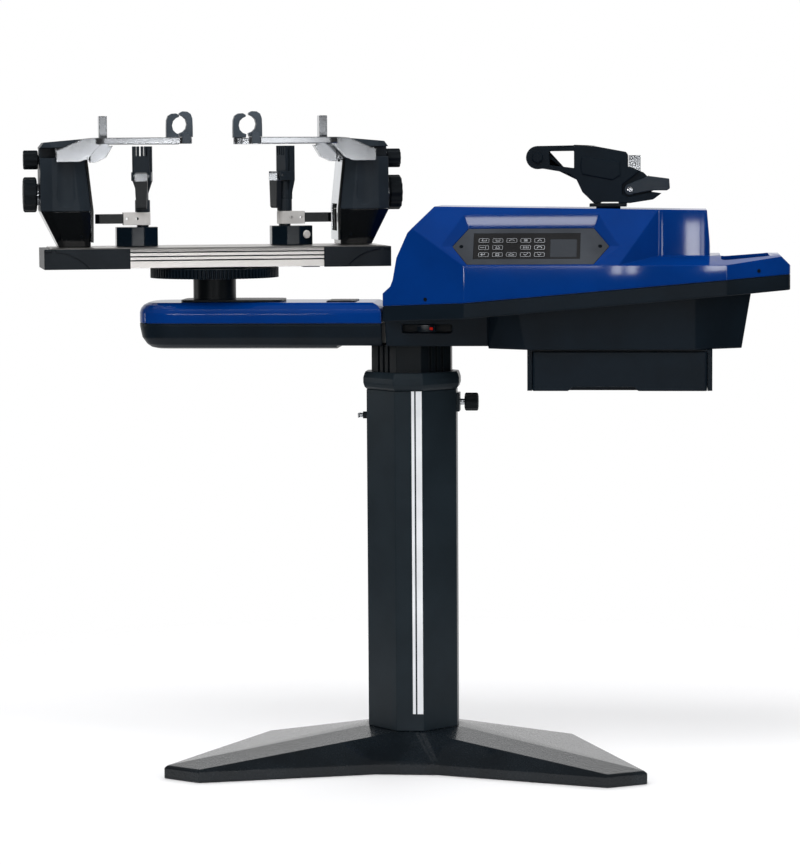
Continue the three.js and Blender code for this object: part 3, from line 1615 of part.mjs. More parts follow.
// Frame jaw: a C-shaped shoe whose groove faces the other jaw, on the arm's pin
function frameJaw() {
  const rise = clearance;
  const shoe = endPrism(
    fromShares(jawShares, -jaw.depth / 2, rise, jaw.depth, jaw.height),
    -jaw.thickness / 2, jaw.thickness / 2,
  );
  const lipFace = -sideArm.padRadius - clearance;
  const lipBack = lipFace - jaw.lip;
  const lip = block([lipBack, -jaw.lipHalfWidth, -jaw.lipDrop], [lipFace, jaw.lipHalfWidth, rise + slideGap]);
  const bridge = block([lipBack, -jaw.lipHalfWidth, rise], [0, jaw.lipHalfWidth, rise + jaw.lip]);
  const bore = rod(sideArm.pinRadius + clearance, -overrun, sideArm.pinHeight + slideGap);
  return cut(join(shoe, lip, bridge), bore);
}

function towerSide(name, nearSide) {
  const outer = tower.inner + tower.width;
  const pieces = [
    piece(`tower_lower_${name}`, towerLower(), glossBlack),
    piece(`tower_upper_${name}`, towerUpper(), black),
    piece(`face_plate_${name}`, towerFacePlate(), aluminium),
    piece(`centre_support_${name}`, centreSupport(), steel),
  ];
  for (const [label, knob] of [['big_knob', bigKnob], ['small_knob', smallKnob]]) {
    const geometry = knobOnShaft(knob, knob.shaftReach, knob.flange, knob.flangeRadius);
    const mesh = piece(`${label}_${name}`, geometry, rubber);
    mesh.position.set(outer + clearance, 0, knob.rise);
    pieces.push(mesh);
  }
  for (const side of [-1, 1]) {
    const place = side === nearSide ? 'front' : 'back';
    const armMesh = piece(`side_arm_${place}_${name}`, sideArmPiece(side), steel);
    armMesh.position.set(sideArm.pivot, side * sideArm.pivotAcross, 0);
    const jawMesh = piece(`frame_jaw_${place}_${name}`, frameJaw(), black);
    jawMesh.position.set(sideArm.jawAlong, side * sideArm.jawAcross, sideArm.bladeLow + sideArm.bladeHeight);
    jawMesh.rotation.z = -side * THREE.MathUtils.degToRad(jaw.turn);
    pieces.push(armMesh, jawMesh);
  }
  return pieces;
}

// Clamp base: a nosed block with its release button, the post and the sliding foot
function clampBase() {
  const { baseHalfLength, baseHalfWidth, flankHalfWidth, noseHalfLength } = clamp;
  const quarter = [[baseHalfLength, flankHalfWidth], [noseHalfLength, baseHalfWidth]];
  const outline = [
    ...quarter, ...quarter.map(([x, y]) => [-x, y]).reverse(),
    ...quarter.map(([x, y]) => [-x, -y]), ...quarter.map(([x, y]) => [x, -y]).reverse(),
  ];
  const body = prism(rounded(outline, clamp.cornerRadius, 3), slideGap, clamp.baseHeight);
  const facet = new THREE.Vector2(baseHalfLength - noseHalfLength, baseHalfWidth - flankHalfWidth);
  const buttonAlong = (baseHalfLength + noseHalfLength) / 2;
  const buttonAcross = -(baseHalfWidth + flankHalfWidth) / 2 + slideGap;
  const button = rod(clamp.buttonRadius, 0, clamp.buttonLength + slideGap)
    .rotateX(Math.PI / 2)
    .rotateZ(facet.angle())
    .translate(buttonAlong, buttonAcross, clamp.buttonRise);
  const post = rod(clamp.postRadius, clamp.baseHeight - clearance, clamp.postTop)
    .translate(clamp.postAlong - clamp.baseAlong, 0, 0);
  return join(body, button, post, slideFoot(0, clamp.slideFootHalfLength));
}

// Lock lever: a folded strap round the post with two holes, and a grip
function lockLever() {
  const inner = clamp.postRadius + clearance;
  const outer = inner + strap.wall;
  const turns = Array.from({ length: smallSides + 1 }, (_, i) => 90 + 180 * i / smallSides);
  const hull = (radius, end) => {
    const tip = strapTaperShare * radius;
    return [...arcPoints(0, 0, radius, turns), [end, -tip], [end, tip]];
  };
  const hole = hull(inner, strap.reach - strap.wall);
  const band = prism(hull(outer, strap.reach), strap.low, strap.low + strap.height, [hole]);
  const middle = strap.low + strap.height / 2;
  const drills = strapHoleShares.map((share) => (
    alongY(rod(strap.holeRadius, -outer - overrun, outer + overrun)).translate(share * strap.reach, 0, middle)
  ));
  const start = strap.reach - strap.wall / 2;
  const end = strap.reach + strap.grip;
  const grip = prism([
    [start, -strap.gripHalfWidth], [end - strap.gripHalfWidth, -strap.gripHalfWidth], [end, 0],
    [end - strap.gripHalfWidth, strap.gripHalfWidth], [start, strap.gripHalfWidth],
  ], middle - strap.gripHalfHeight, middle + strap.gripHalfHeight);
  return join(cut(band, ...drills), grip);
}

// The toothed outline of a clamp jaw, in X and Z, above its foot
function toothedOutline(foot, halfWidth) {
  const pitch = 2 * halfWidth / (clamp.teeth - clamp.gapShare);
  const toothWidth = pitch * (1 - clamp.gapShare);
  const teeth = Array.from({ length: clamp.teeth }, (_, i) => {
    const right = halfWidth - i * pitch;
    const left = right - toothWidth;
    return [[right, clamp.toothRoot], [right, clamp.top], [left, clamp.top], [left, clamp.toothRoot]];
  }).flat();
  return [...foot, ...teeth];
}

// Fixed jaw of a string clamp: a sleeve on the post, a waisted plate and two lugs for the lever
function clampBody() {
  const sleeve = join(
    rod(clamp.neckRadius, clamp.neckLow, clamp.neckHigh),
    rod(clamp.waistHalfWidth, clamp.waistLow, clamp.yokeHigh),
  );
  const postRoom = rod(clamp.postRadius + clearance, clamp.neckLow - overrun, clamp.postTop + clearance);
  const foot = [
    [-clamp.headHalfWidth, clamp.headFlare], [-clamp.waistHalfWidth, clamp.waistHigh],
    [-clamp.waistHalfWidth, clamp.neckHigh], [clamp.waistHalfWidth, clamp.neckHigh],
    [clamp.waistHalfWidth, clamp.waistHigh], [clamp.headHalfWidth, clamp.headFlare],
  ];
  const face = clamp.jawGap / 2;
  const plate = sidePrism(toothedOutline(foot, clamp.headHalfWidth), face, face + clamp.fixedThickness);
  const lugs = [-1, 1].map((side) => {
    const [x0, x1] = ordered(side * clamp.headHalfWidth, side * (clamp.headHalfWidth - clamp.lugThickness));
    return block([x0, -clamp.lugReach, clamp.lugLow], [x1, face + clearance, clamp.lugHigh]);
  });
  const pinReach = clamp.headHalfWidth + overrun;
  const pinRoom = alongX(rod(lever.pinRadius + clearance, -pinReach, pinReach));
  return cut(join(sleeve, plate, ...lugs), postRoom, pinRoom.translate(0, -lever.pivotFace, lever.pivotRise));
}

// Moving jaw, drawn about its pivot between the lugs
function clampJaw() {
  const half = clamp.headHalfWidth - clamp.lugThickness - clearance;
  const outline = toothedOutline([[-half, clamp.movingLow], [half, clamp.movingLow]], half);
  const reach = clamp.movingThickness / 2;
  return sidePrism(outline, -reach, reach).translate(0, 0, -clamp.movingLow);
}

// Squeeze lever with its bright head, drawn about its pivot pin
function clampLever() {
  const { low, neck, top, face, outerFace, headFace, bevel, lowHalfWidth, highHalfWidth } = lever;
  const front = [
    [-lowHalfWidth, low], [lowHalfWidth, low], [highHalfWidth, neck], [highHalfWidth, top - bevel],
    [highHalfWidth - bevel, top], [bevel - highHalfWidth, top],
    [-highHalfWidth, top - bevel], [-highHalfWidth, neck],
  ];
  const side = [
    [-face, low], [-face, neck], [-headFace, neck + bevel], [-headFace, top - bevel], [-headFace - bevel, top],
    [bevel - outerFace, top], [-outerFace, top - bevel], [-outerFace, low + bevel], [bevel - outerFace, low],
  ];
  const body = common(sidePrism(front, -outerFace, -headFace), endPrism(side, -highHalfWidth, highHalfWidth));
  const pin = alongX(rod(lever.pinRadius, -clamp.headHalfWidth, clamp.headHalfWidth));
  return join(body.translate(0, lever.pivotFace, -lever.pivotRise), pin);
}

function clampSide(name) {
  const jawMesh = piece(`clamp_jaw_${name}`, clampJaw(), black);
  jawMesh.position.set(0, -(clamp.jawGap + clamp.movingThickness) / 2, clamp.movingLow);
  const leverMesh = piece(`clamp_lever_${name}`, clampLever(), black);
  leverMesh.position.set(0, -lever.pivotFace, lever.pivotRise);
  const top = group(clamp.postAlong, 0, 0, piece(`clamp_body_${name}`, clampBody(), black), jawMesh, leverMesh);
  top.rotation.z = THREE.MathUtils.degToRad(clampTurns[name]);
  const lock = piece(`lock_lever_${name}`, lockLever(), satinBlack);
  lock.position.x = clamp.postAlong;
  const baseMesh = piece(`clamp_base_${name}`, clampBase(), black);
  baseMesh.position.x = clamp.baseAlong;
  return [baseMesh, lock, top];
}

// Turntable: the post stands on the arm, and the rest turns on its spindle
function turntableGroup() {
  const right = group(0, 0, beamTop, ...towerSide('right', -1), ...clampSide('right'));
  const left = group(0, 0, beamTop, ...towerSide('left', 1), ...clampSide('left'));
  const rightCap = piece('beam_cap_right', beamCap(cap.rightCover), black);
  const leftCap = piece('beam_cap_left', beamCap(cap.leftCover), black);
  left.rotation.z = Math.PI;
  leftCap.rotation.z = Math.PI;
  const turning = group(
    0, 0, 0,
    piece('gear_ring', gearRing(), black),
    piece('beam', beamPiece(), aluminium),
    rightCap, leftCap, right, left,
  );
  turning.rotation.z = THREE.MathUtils.degToRad(turntable.turn);
  return group(turntable.centre, 0, turntableLevel, piece('turntable_post', turntablePost(), steel), turning);
}

export default group(0, 0, 0, stand(), deck(), turntableGroup());
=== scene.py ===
"""Finishes, small fittings and studio of the racket stringing machine."""
import math

import bmesh
import bpy
from mathutils import Matrix, Vector


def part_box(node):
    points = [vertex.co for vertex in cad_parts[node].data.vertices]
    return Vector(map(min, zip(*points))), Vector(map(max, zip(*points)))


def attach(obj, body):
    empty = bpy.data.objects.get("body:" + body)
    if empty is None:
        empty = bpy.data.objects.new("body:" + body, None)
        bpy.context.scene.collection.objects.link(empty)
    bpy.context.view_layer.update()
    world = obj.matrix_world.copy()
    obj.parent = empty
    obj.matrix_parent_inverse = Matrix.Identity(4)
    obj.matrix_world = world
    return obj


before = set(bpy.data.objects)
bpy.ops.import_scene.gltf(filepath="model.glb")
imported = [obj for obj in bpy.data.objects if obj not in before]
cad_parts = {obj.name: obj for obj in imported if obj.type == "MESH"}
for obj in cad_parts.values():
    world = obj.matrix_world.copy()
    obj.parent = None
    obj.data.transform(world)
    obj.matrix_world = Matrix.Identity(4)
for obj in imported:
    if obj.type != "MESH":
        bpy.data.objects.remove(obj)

bl_info = {
    "name": "Racket Stringing Machine",
    "version": (1, 0, 0),
    "blender": (4, 5, 0),
    "location": "3D View > Sidebar > Stringing Machine",
    "description": "Finishes, small fittings and studio of a racket stringing machine",
    "category": "Object",
}

MM = 0.001
RIGHT = Vector((1, 0, 0))
BACK = Vector((0, 1, 0))
FRONT = -BACK
UP = Vector((0, 0, 1))

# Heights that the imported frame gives
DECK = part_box("arm_lower")[0].z
BEAM_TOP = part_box("beam")[1].z
BEAM_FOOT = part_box("beam")[0].z

# The turntable: its axis, how far it stands turned, and its two like halves
TURNTABLE_AXIS = Vector((-250 * MM, 0, 0))
TURNTABLE_TURN = Matrix.Rotation(math.radians(15), 3, "Z")
SIDES = {"right": 1, "left": -1}
PLACES = ("front", "back")

# Painted lines of the column: their left edges, the bare length below them and their thickness
THIN_LINE_LEFT = 3.6 * MM
THICK_LINE_LEFT = 9.2 * MM
LINE_FOOT = 22 * MM
LINE_PAINT = 0.12 * MM

# Pad on the arm: its corner and size, and the radii of its corners and of its rim
PAD_CORNER = (-105 * MM, -30 * MM)
PAD_SIZE = (36 * MM, 60 * MM, 1.2 * MM)
PAD_RADII = (4 * MM, 0.4 * MM)

# Slanted control panel: its lower left corner, its lean, and the places of its keys and display
PANEL_CORNER = Vector((58 * MM, -102.5 * MM, DECK + 106.5 * MM))
PANEL_LEAN = math.atan2(72, 45) - math.radians(8)
PANEL_SCREWS = ((11 * MM, 28 * MM), (181 * MM, 28 * MM))
KEY_CORNER = Vector((31.5 * MM, 11.5 * MM))
KEY_PITCH = Vector((17.1 * MM, 11 * MM))
KEY_SIZE = Vector((14 * MM, 7.6 * MM))
KEY_TOP = 0.1 * MM
SCREEN_CORNER = (120 * MM, 11.5 * MM)
SCREEN_SIZE = (32.5 * MM, 28 * MM, 0.3 * MM)
SCREEN_RADII = (1 * MM, 0.1 * MM)
SCREEN_TOP = -0.8 * MM

# Print of the keys: its thickness, and the outline's distance from the key's edges, its cut
# corners and its width as a share of the signs'
SIGN_PAINT = 0.08 * MM
OUTLINE_INSET = Vector((0.9 * MM, 0.7 * MM))
OUTLINE_CUT = 0.4 * MM
OUTLINE_CORNER = 1.4 * MM
OUTLINE_SHARE = 0.6

# Signs on the keys as bars (x, y, length, turn) in shares of the key's height; None is no key
KEY_SIGNS = [
    [
        [(-0.12, 0, 0.5, 0), (0.1, 0.12, 0.3, 90), (-0.2, 0.1, 0.24, 45), (-0.2, -0.1, 0.24, -45)],
        [(-0.15, 0, 0.4, 90), (0.15, 0, 0.4, 90), (0, 0.18, 0.3, 0), (0, -0.18, 0.3, 0)],
        [(-0.2, 0.05, 0.4, 40), (0.15, 0.05, 0.4, -40), (0, -0.15, 0.5, 0)],
        [(-0.12, -0.02, 0.26, -45), (0.12, 0.05, 0.46, 50)],
        [(-0.11, 0, 0.34, -45), (0.11, 0, 0.34, 45)],
    ],
    [
        [(-0.15, 0, 0.5, 0), (0.2, 0, 0.34, 90)],
        [(0, -0.16, 0.6, 0), (-0.16, 0.04, 0.4, 60), (0.16, 0.04, 0.4, -60)],
        None,
        [(-0.22, 0, 0.34, 90), (-0.06, 0, 0.34, 90), (0.12, 0, 0.34, 90), (0.28, 0, 0.34, 90)],
        [(-0.2, 0, 0.3, 60), (0, 0.14, 0.4, 0), (0.2, 0, 0.3, -60)],
    ],
    [
        [(0, -0.08, 0.5, 0), (-0.18, 0.1, 0.3, 50), (0.26, 0.04, 0.26, 90)],
        [(-0.18, 0.1, 0.3, 0), (0.18, 0.1, 0.3, 0), (0, -0.14, 0.5, 0)],
        [(-0.22, 0.02, 0.3, 45), (0, 0.14, 0.26, 0), (0.22, 0.02, 0.3, -45)],
        [(0, 0.16, 0.44, 0), (0, 0, 0.44, 0), (0, -0.16, 0.44, 0)],
        [(-0.11, 0, 0.34, 45), (0.11, 0, 0.34, -45)],
    ],
]
SIGN_STRETCH_X = 1.5
SIGN_STRETCH_LENGTH = 1.3

# Red mark on the power switch: its corner, size and radii, and where it sits along the rocker
MARK_CORNER = (-2 * MM, -1.6 * MM)
MARK_SIZE = (4 * MM, 3.2 * MM, 0.3 * MM)
MARK_RADII = (0.6 * MM, 0)
MARK_SHARE = 0.75

# Where screws sit: x and z of the housing's and of the trigger's pivot, and how far out and up the
# towers' are, in millimetres; how far off a ray starts to find the surface that they sit on; the
# heights of their heads, or radius and height
HOUSING_SCREWS = ((24 * MM, DECK + 63.1 * MM), (432 * MM, DECK + 97 * MM))
TRIGGER_PIVOT = (274.3 * MM, DECK + 196.3 * MM)
TOWER_SCREW = (169.5, 13.5)
FAR = 300 * MM
HOUSING_SCREW_HEIGHT = 0.5 * MM
PANEL_SCREW_HEIGHT = 0.4 * MM
TOWER_SCREW_HEAD = (2 * MM, 0.4 * MM)
PIVOT_SCREW_HEAD = (3.4 * MM, 0.9 * MM)

# Plates under the rail's ends: how far out they sit, their corner, size and radii
FOOT_PLATE_OUT = 122
FOOT_PLATE_CORNER = (-14 * MM, -11 * MM)
FOOT_PLATE_SIZE = (28 * MM, 22 * MM, 2.4 * MM)
FOOT_PLATE_RADII = (3 * MM, 0.5 * MM)

# Where one piece changes its material and how softly; distances along the turntable and the
# button's middle are in millimetres, as turned() takes them
SEAM = 0.2 * MM
KNOB_SHAFT_END = 66.2 * MM
SCREW_SHAFT_END = -62.8 * MM
GROOVES_BELOW_TOP = (6.4 * MM, 11.5 * MM, 16.4 * MM)
GROOVE_HALF = 0.6 * MM
GROOVE_SEAM = 0.3 * MM
PLATE_HALF = 29.2 * MM
KNOB_FLANGES = {"big": 222.3, "small": 220.4}
CLAMP_NECK = 81.4 * MM
CLAMP_OUT = 98
STRAP_END = 114.6
BUTTON_MIDDLE = (115, -18, 13.5)
BUTTON_RADIUS = 5.1 * MM
BUTTON_FROM = 12 * MM

# How far edges are rounded and from which angle an edge counts as one, in millimetres and degrees
EDGES = {
    "base_casting": (0.9, 6),
    "column_outer": (0.8, 20),
    "column_collar": (0.5, 16),
    "column_inner": (0.4, 20),
    "housing_upper": (0.6, 14),
    "arm_upper": (1.0, 14),
    "arm_lower": (0.8, 20),
    "housing_lower": (0.9, 14),
    "tool_drawer": (0.7, 20),
    "beam": (0.25, 20),
    "panel_plate": (0.3, 20),
    "keypad_overlay": (0, 30),
    "gear_ring": (0.2, 30),
    "head_body": (0.7, 18),
    "trigger_lever": (0.7, 18),
}
DEFAULT_EDGE = (0.4, 26)
SMOOTH_UNDER = 48
SHARP_OVER = 35

# Each finish: roughness, metallic, kind of grain, its size and depth in mm, and colour variation
FINISHES = {
    "cast": dict(roughness=0.26, grain="leather", size=3.2, depth=0.7, variation=0.25),
    "powder": dict(roughness=0.36, grain="spark", size=0.7, depth=0.012, variation=0.12),
    "moulded": dict(roughness=0.4, grain="spark", size=0.55, depth=0.014, variation=0.16),
    "matt": dict(roughness=0.5, grain="spark", size=0.4, depth=0.02, variation=0.18),
    "gloss": dict(roughness=0.14, grain="peel", size=9, depth=0.01, variation=0.08),
    "shell": dict(roughness=0.22, grain="peel", size=14, depth=0.012, variation=0.07),
    "rubber": dict(roughness=0.6, grain="spark", size=0.5, depth=0.03, variation=0.2),
    "steel": dict(
        roughness=0.2, metallic=1.0, grain="brushed", size=0.5, depth=0.001, variation=0.1
    ),
    "anodised": dict(
        roughness=0.34, metallic=1.0, grain="brushed", size=0.4, depth=0.006, variation=0.08
    ),
    "glass": dict(roughness=0.08, grain="peel", size=20, depth=0.003, variation=0.03),
}
BLOTCH_SIZE = 60 * MM
COAT_ROUGHNESS = 0.04

# Soft lamps light the colours: name, place, target, width and height in metres, power in watts
LAMPS = (
    ("Key_lamp", (-0.4, -1.35, 2.9), (0, 0, 0.5), 1.8, 1.0, 36),
    ("Left_lamp", (-2.4, -1.0, 1.0), (0, 0, 0.5), 0.4, 1.7, 4.5),
    ("Right_lamp", (2.5, -1.2, 1.0), (0.1, 0, 0.5), 0.4, 1.7, 14),
    ("Back_lamp", (0.3, 1.9, 2.2), (0, 0, 0.5), 1.8, 0.8, 16),
)

# Strips and cards show only in gloss, as a studio's do, with the same columns
CARDS = (
    ("Edge_card_front", (-0.68, -2.5, DECK), (0.07, -0.1, DECK + 0.088), 0.6, 0.05, 3),
    ("Edge_card_left", (-2.4, 0.5, DECK + 0.03), (0.02, -0.05, DECK + 0.1), 0.5, 0.3, 2.4),
    ("Edge_card_top", (0.1, -2.2, 2.0), (0.1, -0.1, DECK), 2.0, 0.12, 5),
    ("Metal_card_right", (0.95, -3.15, 0.42), (-0.2, 0, 0.63), 0.8, 0.44, 6),
    ("Metal_card_left", (-1.15, -3.25, 0.8), (-0.3, 0, 0.76), 0.7, 0.5, 1.7),
    ("Metal_card_far_right", (2.36, -1.7, 0.78), (-0.15, -0.05, 0.784), 0.5, 0.4, 2),
    ("Pocket_card", (0.06, -2, DECK + 0.0794), (0.1536, -0.066, DECK + 0.158), 0.26, 0.05, 0.42),
    ("Block_card_a", (0.22, -2, DECK + 0.08), (0.3125, -0.062, DECK + 0.136), 0.018, 0.1, 0.07),
    ("Block_card_b", (0.247, -2, DECK + 0.08), (0.318, -0.062, DECK + 0.136), 0.018, 0.1, 0.07),
    ("Block_card_c", (0.402, -2, DECK + 0.08), (0.3565, -0.062, DECK + 0.136), 0.04, 0.1, 0.17),
)

# The camera: its distance from the column and its height in metres, its angles in degrees, its
# focal length and the column's offset in pixels of a picture of this height, its sensor in
# millimetres and how far it sees in metres
CAMERA_DISTANCE = 3.9
CAMERA_HEIGHT = DECK + 0.2334
CAMERA_SWING = 5
CAMERA_PITCH = 5
CAMERA_ROLL = -0.35
FOCAL_PIXELS = 3100
AIM_PIXELS = 12.5
PICTURE_PIXELS = 864
SENSOR_WIDTH = 36
VIEW_END = 50

FLOOR_WHITE = (0.93, 0.93, 0.94, 1)
FLOOR_DROP = 0.5 * MM
FLOOR_FADE = (0.45, 0.98)

# Light of the room from below and what its upper half adds; what gloss mirrors of it everywhere,
# of the backdrop behind and of the ceiling
ROOM_LIGHT = 0.22
UPPER_LIGHT = 0.5
MIRRORED_ROOM = 0.05
MIRRORED_BACKDROP = 0.9
MIRRORED_CEILING = 0.15


class Value:
    """A shader socket that Python expressions can use."""

    def __init__(self, shader, socket):
        self.shader = shader
        self.socket = socket

    def math(self, operation, *terms):
        values = dict(enumerate(terms))
        return self.shader.node("ShaderNodeMath", {"operation": operation}, values)

    def __add__(self, other):
        return self.math("ADD", self, other)

    __radd__ = __add__

    def __sub__(self, other):
        return self.math("SUBTRACT", self, other)

    def __rsub__(self, other):
        return self.math("SUBTRACT", other, self)

    def __mul__(self, other):
        return self.math("MULTIPLY", self, other)

    __rmul__ = __mul__

    def __abs__(self):
        return self.math("ABSOLUTE", self)

    def or_more(self, other):
        """The greater of this value and another."""
        return self.math("MAXIMUM", self, other)

    def between(self, low, high):
        """0 below low, 1 above high, and smooth between them."""
        return self.shader.node(
            "ShaderNodeMapRange",
            {"interpolation_type": "SMOOTHSTEP"},
            {0: self, 1: low, 2: high},
        )

    def past(self, edge, seam=SEAM):
        """0 up to an edge and 1 past the seam that begins there."""
        return self.between(edge, edge + seam)


class Shader:
    """Builds the nodes of one material or of the world."""

    def __init__(self, tree):
        self.tree = tree
        tree.nodes.clear()

    def node(self, kind, settings=None, values=None, output=0):
        """One node: its type, settings, the values or links of its sockets, and the output used."""
        made = self.tree.nodes.new(kind)
        for name, setting in (settings or {}).items():
            setattr(made, name, setting)
        for name, value in (values or {}).items():
            if isinstance(value, Value):
                self.tree.links.new(value.socket, made.inputs[name])
            else:
                made.inputs[name].default_value = value
        return Value(self, made.outputs[output])

    def vector(self, operation, first, second=None, output="Vector"):
        """A Vector Math node on one or two vectors."""
        values = {0: first} if second is None else {0: first, 1: second}
        return self.node("ShaderNodeVectorMath", {"operation": operation}, values, output)

    def place(self):
        """The point on the object, in its own coordinates."""
        return self.node("ShaderNodeTexCoord", output="Object")

    def along(self, direction, origin=(0, 0, 0)):
        """How far a point lies from the origin along a direction, in metres."""
        offset = self.vector("SUBTRACT", self.place(), origin)
        return self.vector("DOT_PRODUCT", offset, direction, "Value")

    def from_axis(self, direction, origin):
        """How far a point lies from a line, in metres."""
        offset = self.vector("SUBTRACT", self.place(), origin)
        across = self.vector("CROSS_PRODUCT", offset, direction)
        return self.vector("LENGTH", across, output="Value")

    def noise(self, size, stretch=(1, 1, 1), detail=2.0):
        """Soft noise whose lumps have about a size in metres, stretched by the given shares."""
        place = self.node("ShaderNodeMapping", None, {"Vector": self.place(), "Scale": stretch})
        values = {"Vector": place, "Scale": 1 / size, "Detail": detail}
        return self.node("ShaderNodeTexNoise", None, values)

    def cells(self, size):
        """Round cells of about a size in metres."""
        values = {"Vector": self.place(), "Scale": 1 / size, "Smoothness": 0.6}
        return self.node("ShaderNodeTexVoronoi", {"feature": "SMOOTH_F1"}, values)

    def mix(self, factor, first, second):
        return self.node("ShaderNodeMix", None, {0: factor, 2: first, 3: second})

    def mix_colour(self, factor, first, second):
        values = {0: factor, 6: first, 7: second}
        return self.node("ShaderNodeMix", {"data_type": "RGBA"}, values, output=2)

    def end(self, kind, result):
        """Links the result to a new output node."""
        last = self.tree.nodes.new(kind)
        self.tree.links.new(result.socket, last.inputs["Surface"])


def shade(colour, share):
    """A colour darkened or lightened by a share, with full alpha."""
    return (*(min(channel * share, 1) for channel in colour[:3]), 1)


def grain(shader, kind, size, stretch):
    """The height of a finish's surface, from 0 to 1."""
    if kind == "leather":
        return shader.cells(size) * 0.7 + shader.noise(size * 0.4) * 0.5
    if kind == "brushed":
        return shader.noise(size, stretch, 3.0)
    if kind == "peel":
        return shader.noise(size, detail=1.0)
    return shader.noise(size, detail=3.0)


def surface(shader, colour, finish, stretch):
    """Colour, roughness, metallic and height of one finish."""
    recipe = FINISHES[finish]
    blotches = shader.noise(BLOTCH_SIZE, detail=3.0)
    height = grain(shader, recipe["grain"], recipe["size"] * MM, stretch)
    dark = shade(colour, 1 - recipe["variation"])
    light = shade(colour, 1 + recipe["variation"])
    tone = shader.mix_colour(blotches.between(0.3, 0.7), dark, light)
    rough = recipe["roughness"] + (blotches - 0.5) * 0.06 + (height - 0.5) * 0.05
    return tone, rough, recipe.get("metallic", 0.0), height * (recipe["depth"] * MM)


def material(
    name, colour, finish, second=None, mask=None,
    stretch=(0.03, 1, 1), coat=0.0, specular=0.15, rounding=0.0,
):
    """A finish, or two parted by a mask that the shader works out, on edges that look rounded."""
    made = bpy.data.materials.new(name)
    made.use_nodes = True
    shader = Shader(made.node_tree)
    tone, rough, metallic, height = surface(shader, colour, finish, stretch)
    if second:
        share = mask(shader)
        other = surface(shader, *second, stretch)
        tone = shader.mix_colour(share, tone, other[0])
        rough = shader.mix(share, rough, other[1])
        metallic = shader.mix(share, metallic, other[2])
        height = shader.mix(share, height, other[3])
    values = {"Height": height, "Distance": 1.0, "Strength": 1.0}
    if rounding:
        radius = {"Radius": rounding * MM}
        values["Normal"] = shader.node("ShaderNodeBevel", {"samples": 6}, radius)
    bump = shader.node("ShaderNodeBump", None, values)
    values = {
        "Base Color": tone,
        "Roughness": rough,
        "Metallic": metallic,
        "Normal": bump,
        "Coat Weight": coat,
        "Coat Roughness": COAT_ROUGHNESS,
        "Specular IOR Level": specular,
    }
    principled = shader.node("ShaderNodeBsdfPrincipled", None, values)
    shader.end("ShaderNodeOutputMaterial", principled)
    return made


def made_earlier(name):
    """A material that an earlier step made."""
    return bpy.data.materials[name]


def smoothing():
    """A modifier group that shades faces smooth but keeps edges above an angle sharp."""
    name = f"Smooth_under_{SMOOTH_UNDER}"
    if name in bpy.data.node_groups:
        return bpy.data.node_groups[name]
    group = bpy.data.node_groups.new(name, "GeometryNodeTree")
    for direction in ("INPUT", "OUTPUT"):
        socket = "NodeSocketGeometry"
        group.interface.new_socket("Geometry", in_out=direction, socket_type=socket)
    begin = group.nodes.new("NodeGroupInput")
    end = group.nodes.new("NodeGroupOutput")
    faces = group.nodes.new("GeometryNodeSetShadeSmooth")
    edges = group.nodes.new("GeometryNodeSetShadeSmooth")
    edges.domain = "EDGE"
    edges.inputs["Shade Smooth"].default_value = False
    edge_angle = group.nodes.new("GeometryNodeInputMeshEdgeAngle")
    compare = group.nodes.new("FunctionNodeCompare")
    compare.operation = "GREATER_THAN"
    compare.inputs[1].default_value = math.radians(SMOOTH_UNDER)
    group.links.new(edge_angle.outputs[0], compare.inputs[0])
    group.links.new(begin.outputs[0], faces.inputs["Geometry"])
    group.links.new(faces.outputs[0], edges.inputs["Geometry"])
    group.links.new(compare.outputs[0], edges.inputs["Selection"])
    group.links.new(edges.outputs[0], end.inputs[0])
    return group


def soften(piece, width, angle):
    """Rounds a piece's edges a little to catch the light, and shades its curves smooth."""
    piece.modifiers.new("Weld", "WELD").merge_threshold = 0.01 * MM
    if width:
        flats = piece.modifiers.new("Flats", "DECIMATE")
        flats.decimate_type = "DISSOLVE"
        flats.angle_limit = math.radians(0.5)
        bevel = piece.modifiers.new("Edges", "BEVEL")
        bevel.limit_method = "ANGLE"
        bevel.angle_limit = math.radians(angle)
        bevel.width = width * MM
        bevel.segments = 2
        bevel.use_clamp_overlap = False
        bevel.miter_outer = "MITER_ARC"
    piece.modifiers.new("Smooth", "NODES").node_group = smoothing()
    normals = piece.modifiers.new("Normals", "WEIGHTED_NORMAL")
    normals.keep_sharp = True
    normals.weight = 60


def dress(names, finish):
    """Gives CAD nodes a material, and their edges the rounding that their making leaves."""
    for name in names:
        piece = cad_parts[name]
        piece.data.materials.clear()
        piece.data.materials.append(finish)
        soften(piece, *EDGES.get(name, DEFAULT_EDGE))


def add_piece(name, mesh, finish, body):
    """Makes a finished bmesh a piece that rides on a body."""
    bmesh.ops.remove_doubles(mesh, verts=mesh.verts, dist=0.001 * MM)
    bmesh.ops.recalc_face_normals(mesh, faces=mesh.faces)
    data = bpy.data.meshes.new(name)
    mesh.to_mesh(data)
    mesh.free()
    data.materials.append(finish)
    data.shade_smooth()
    data.set_sharp_from_angle(angle=math.radians(SHARP_OVER))
    piece = bpy.data.objects.new(name, data)
    bpy.context.scene.collection.objects.link(piece)
    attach(piece, body)


def facing(point, outward, along=UP):
    """A matrix at a point, its z axis pointing outward and its y axis as near along as it can."""
    normal = outward.normalized()
    side = along.cross(normal)
    if side.length < 0.01:
        side = RIGHT.copy()
    side.normalize()
    axes = Matrix((side, normal.cross(side), normal)).transposed().to_4x4()
    return Matrix.Translation(point) @ axes


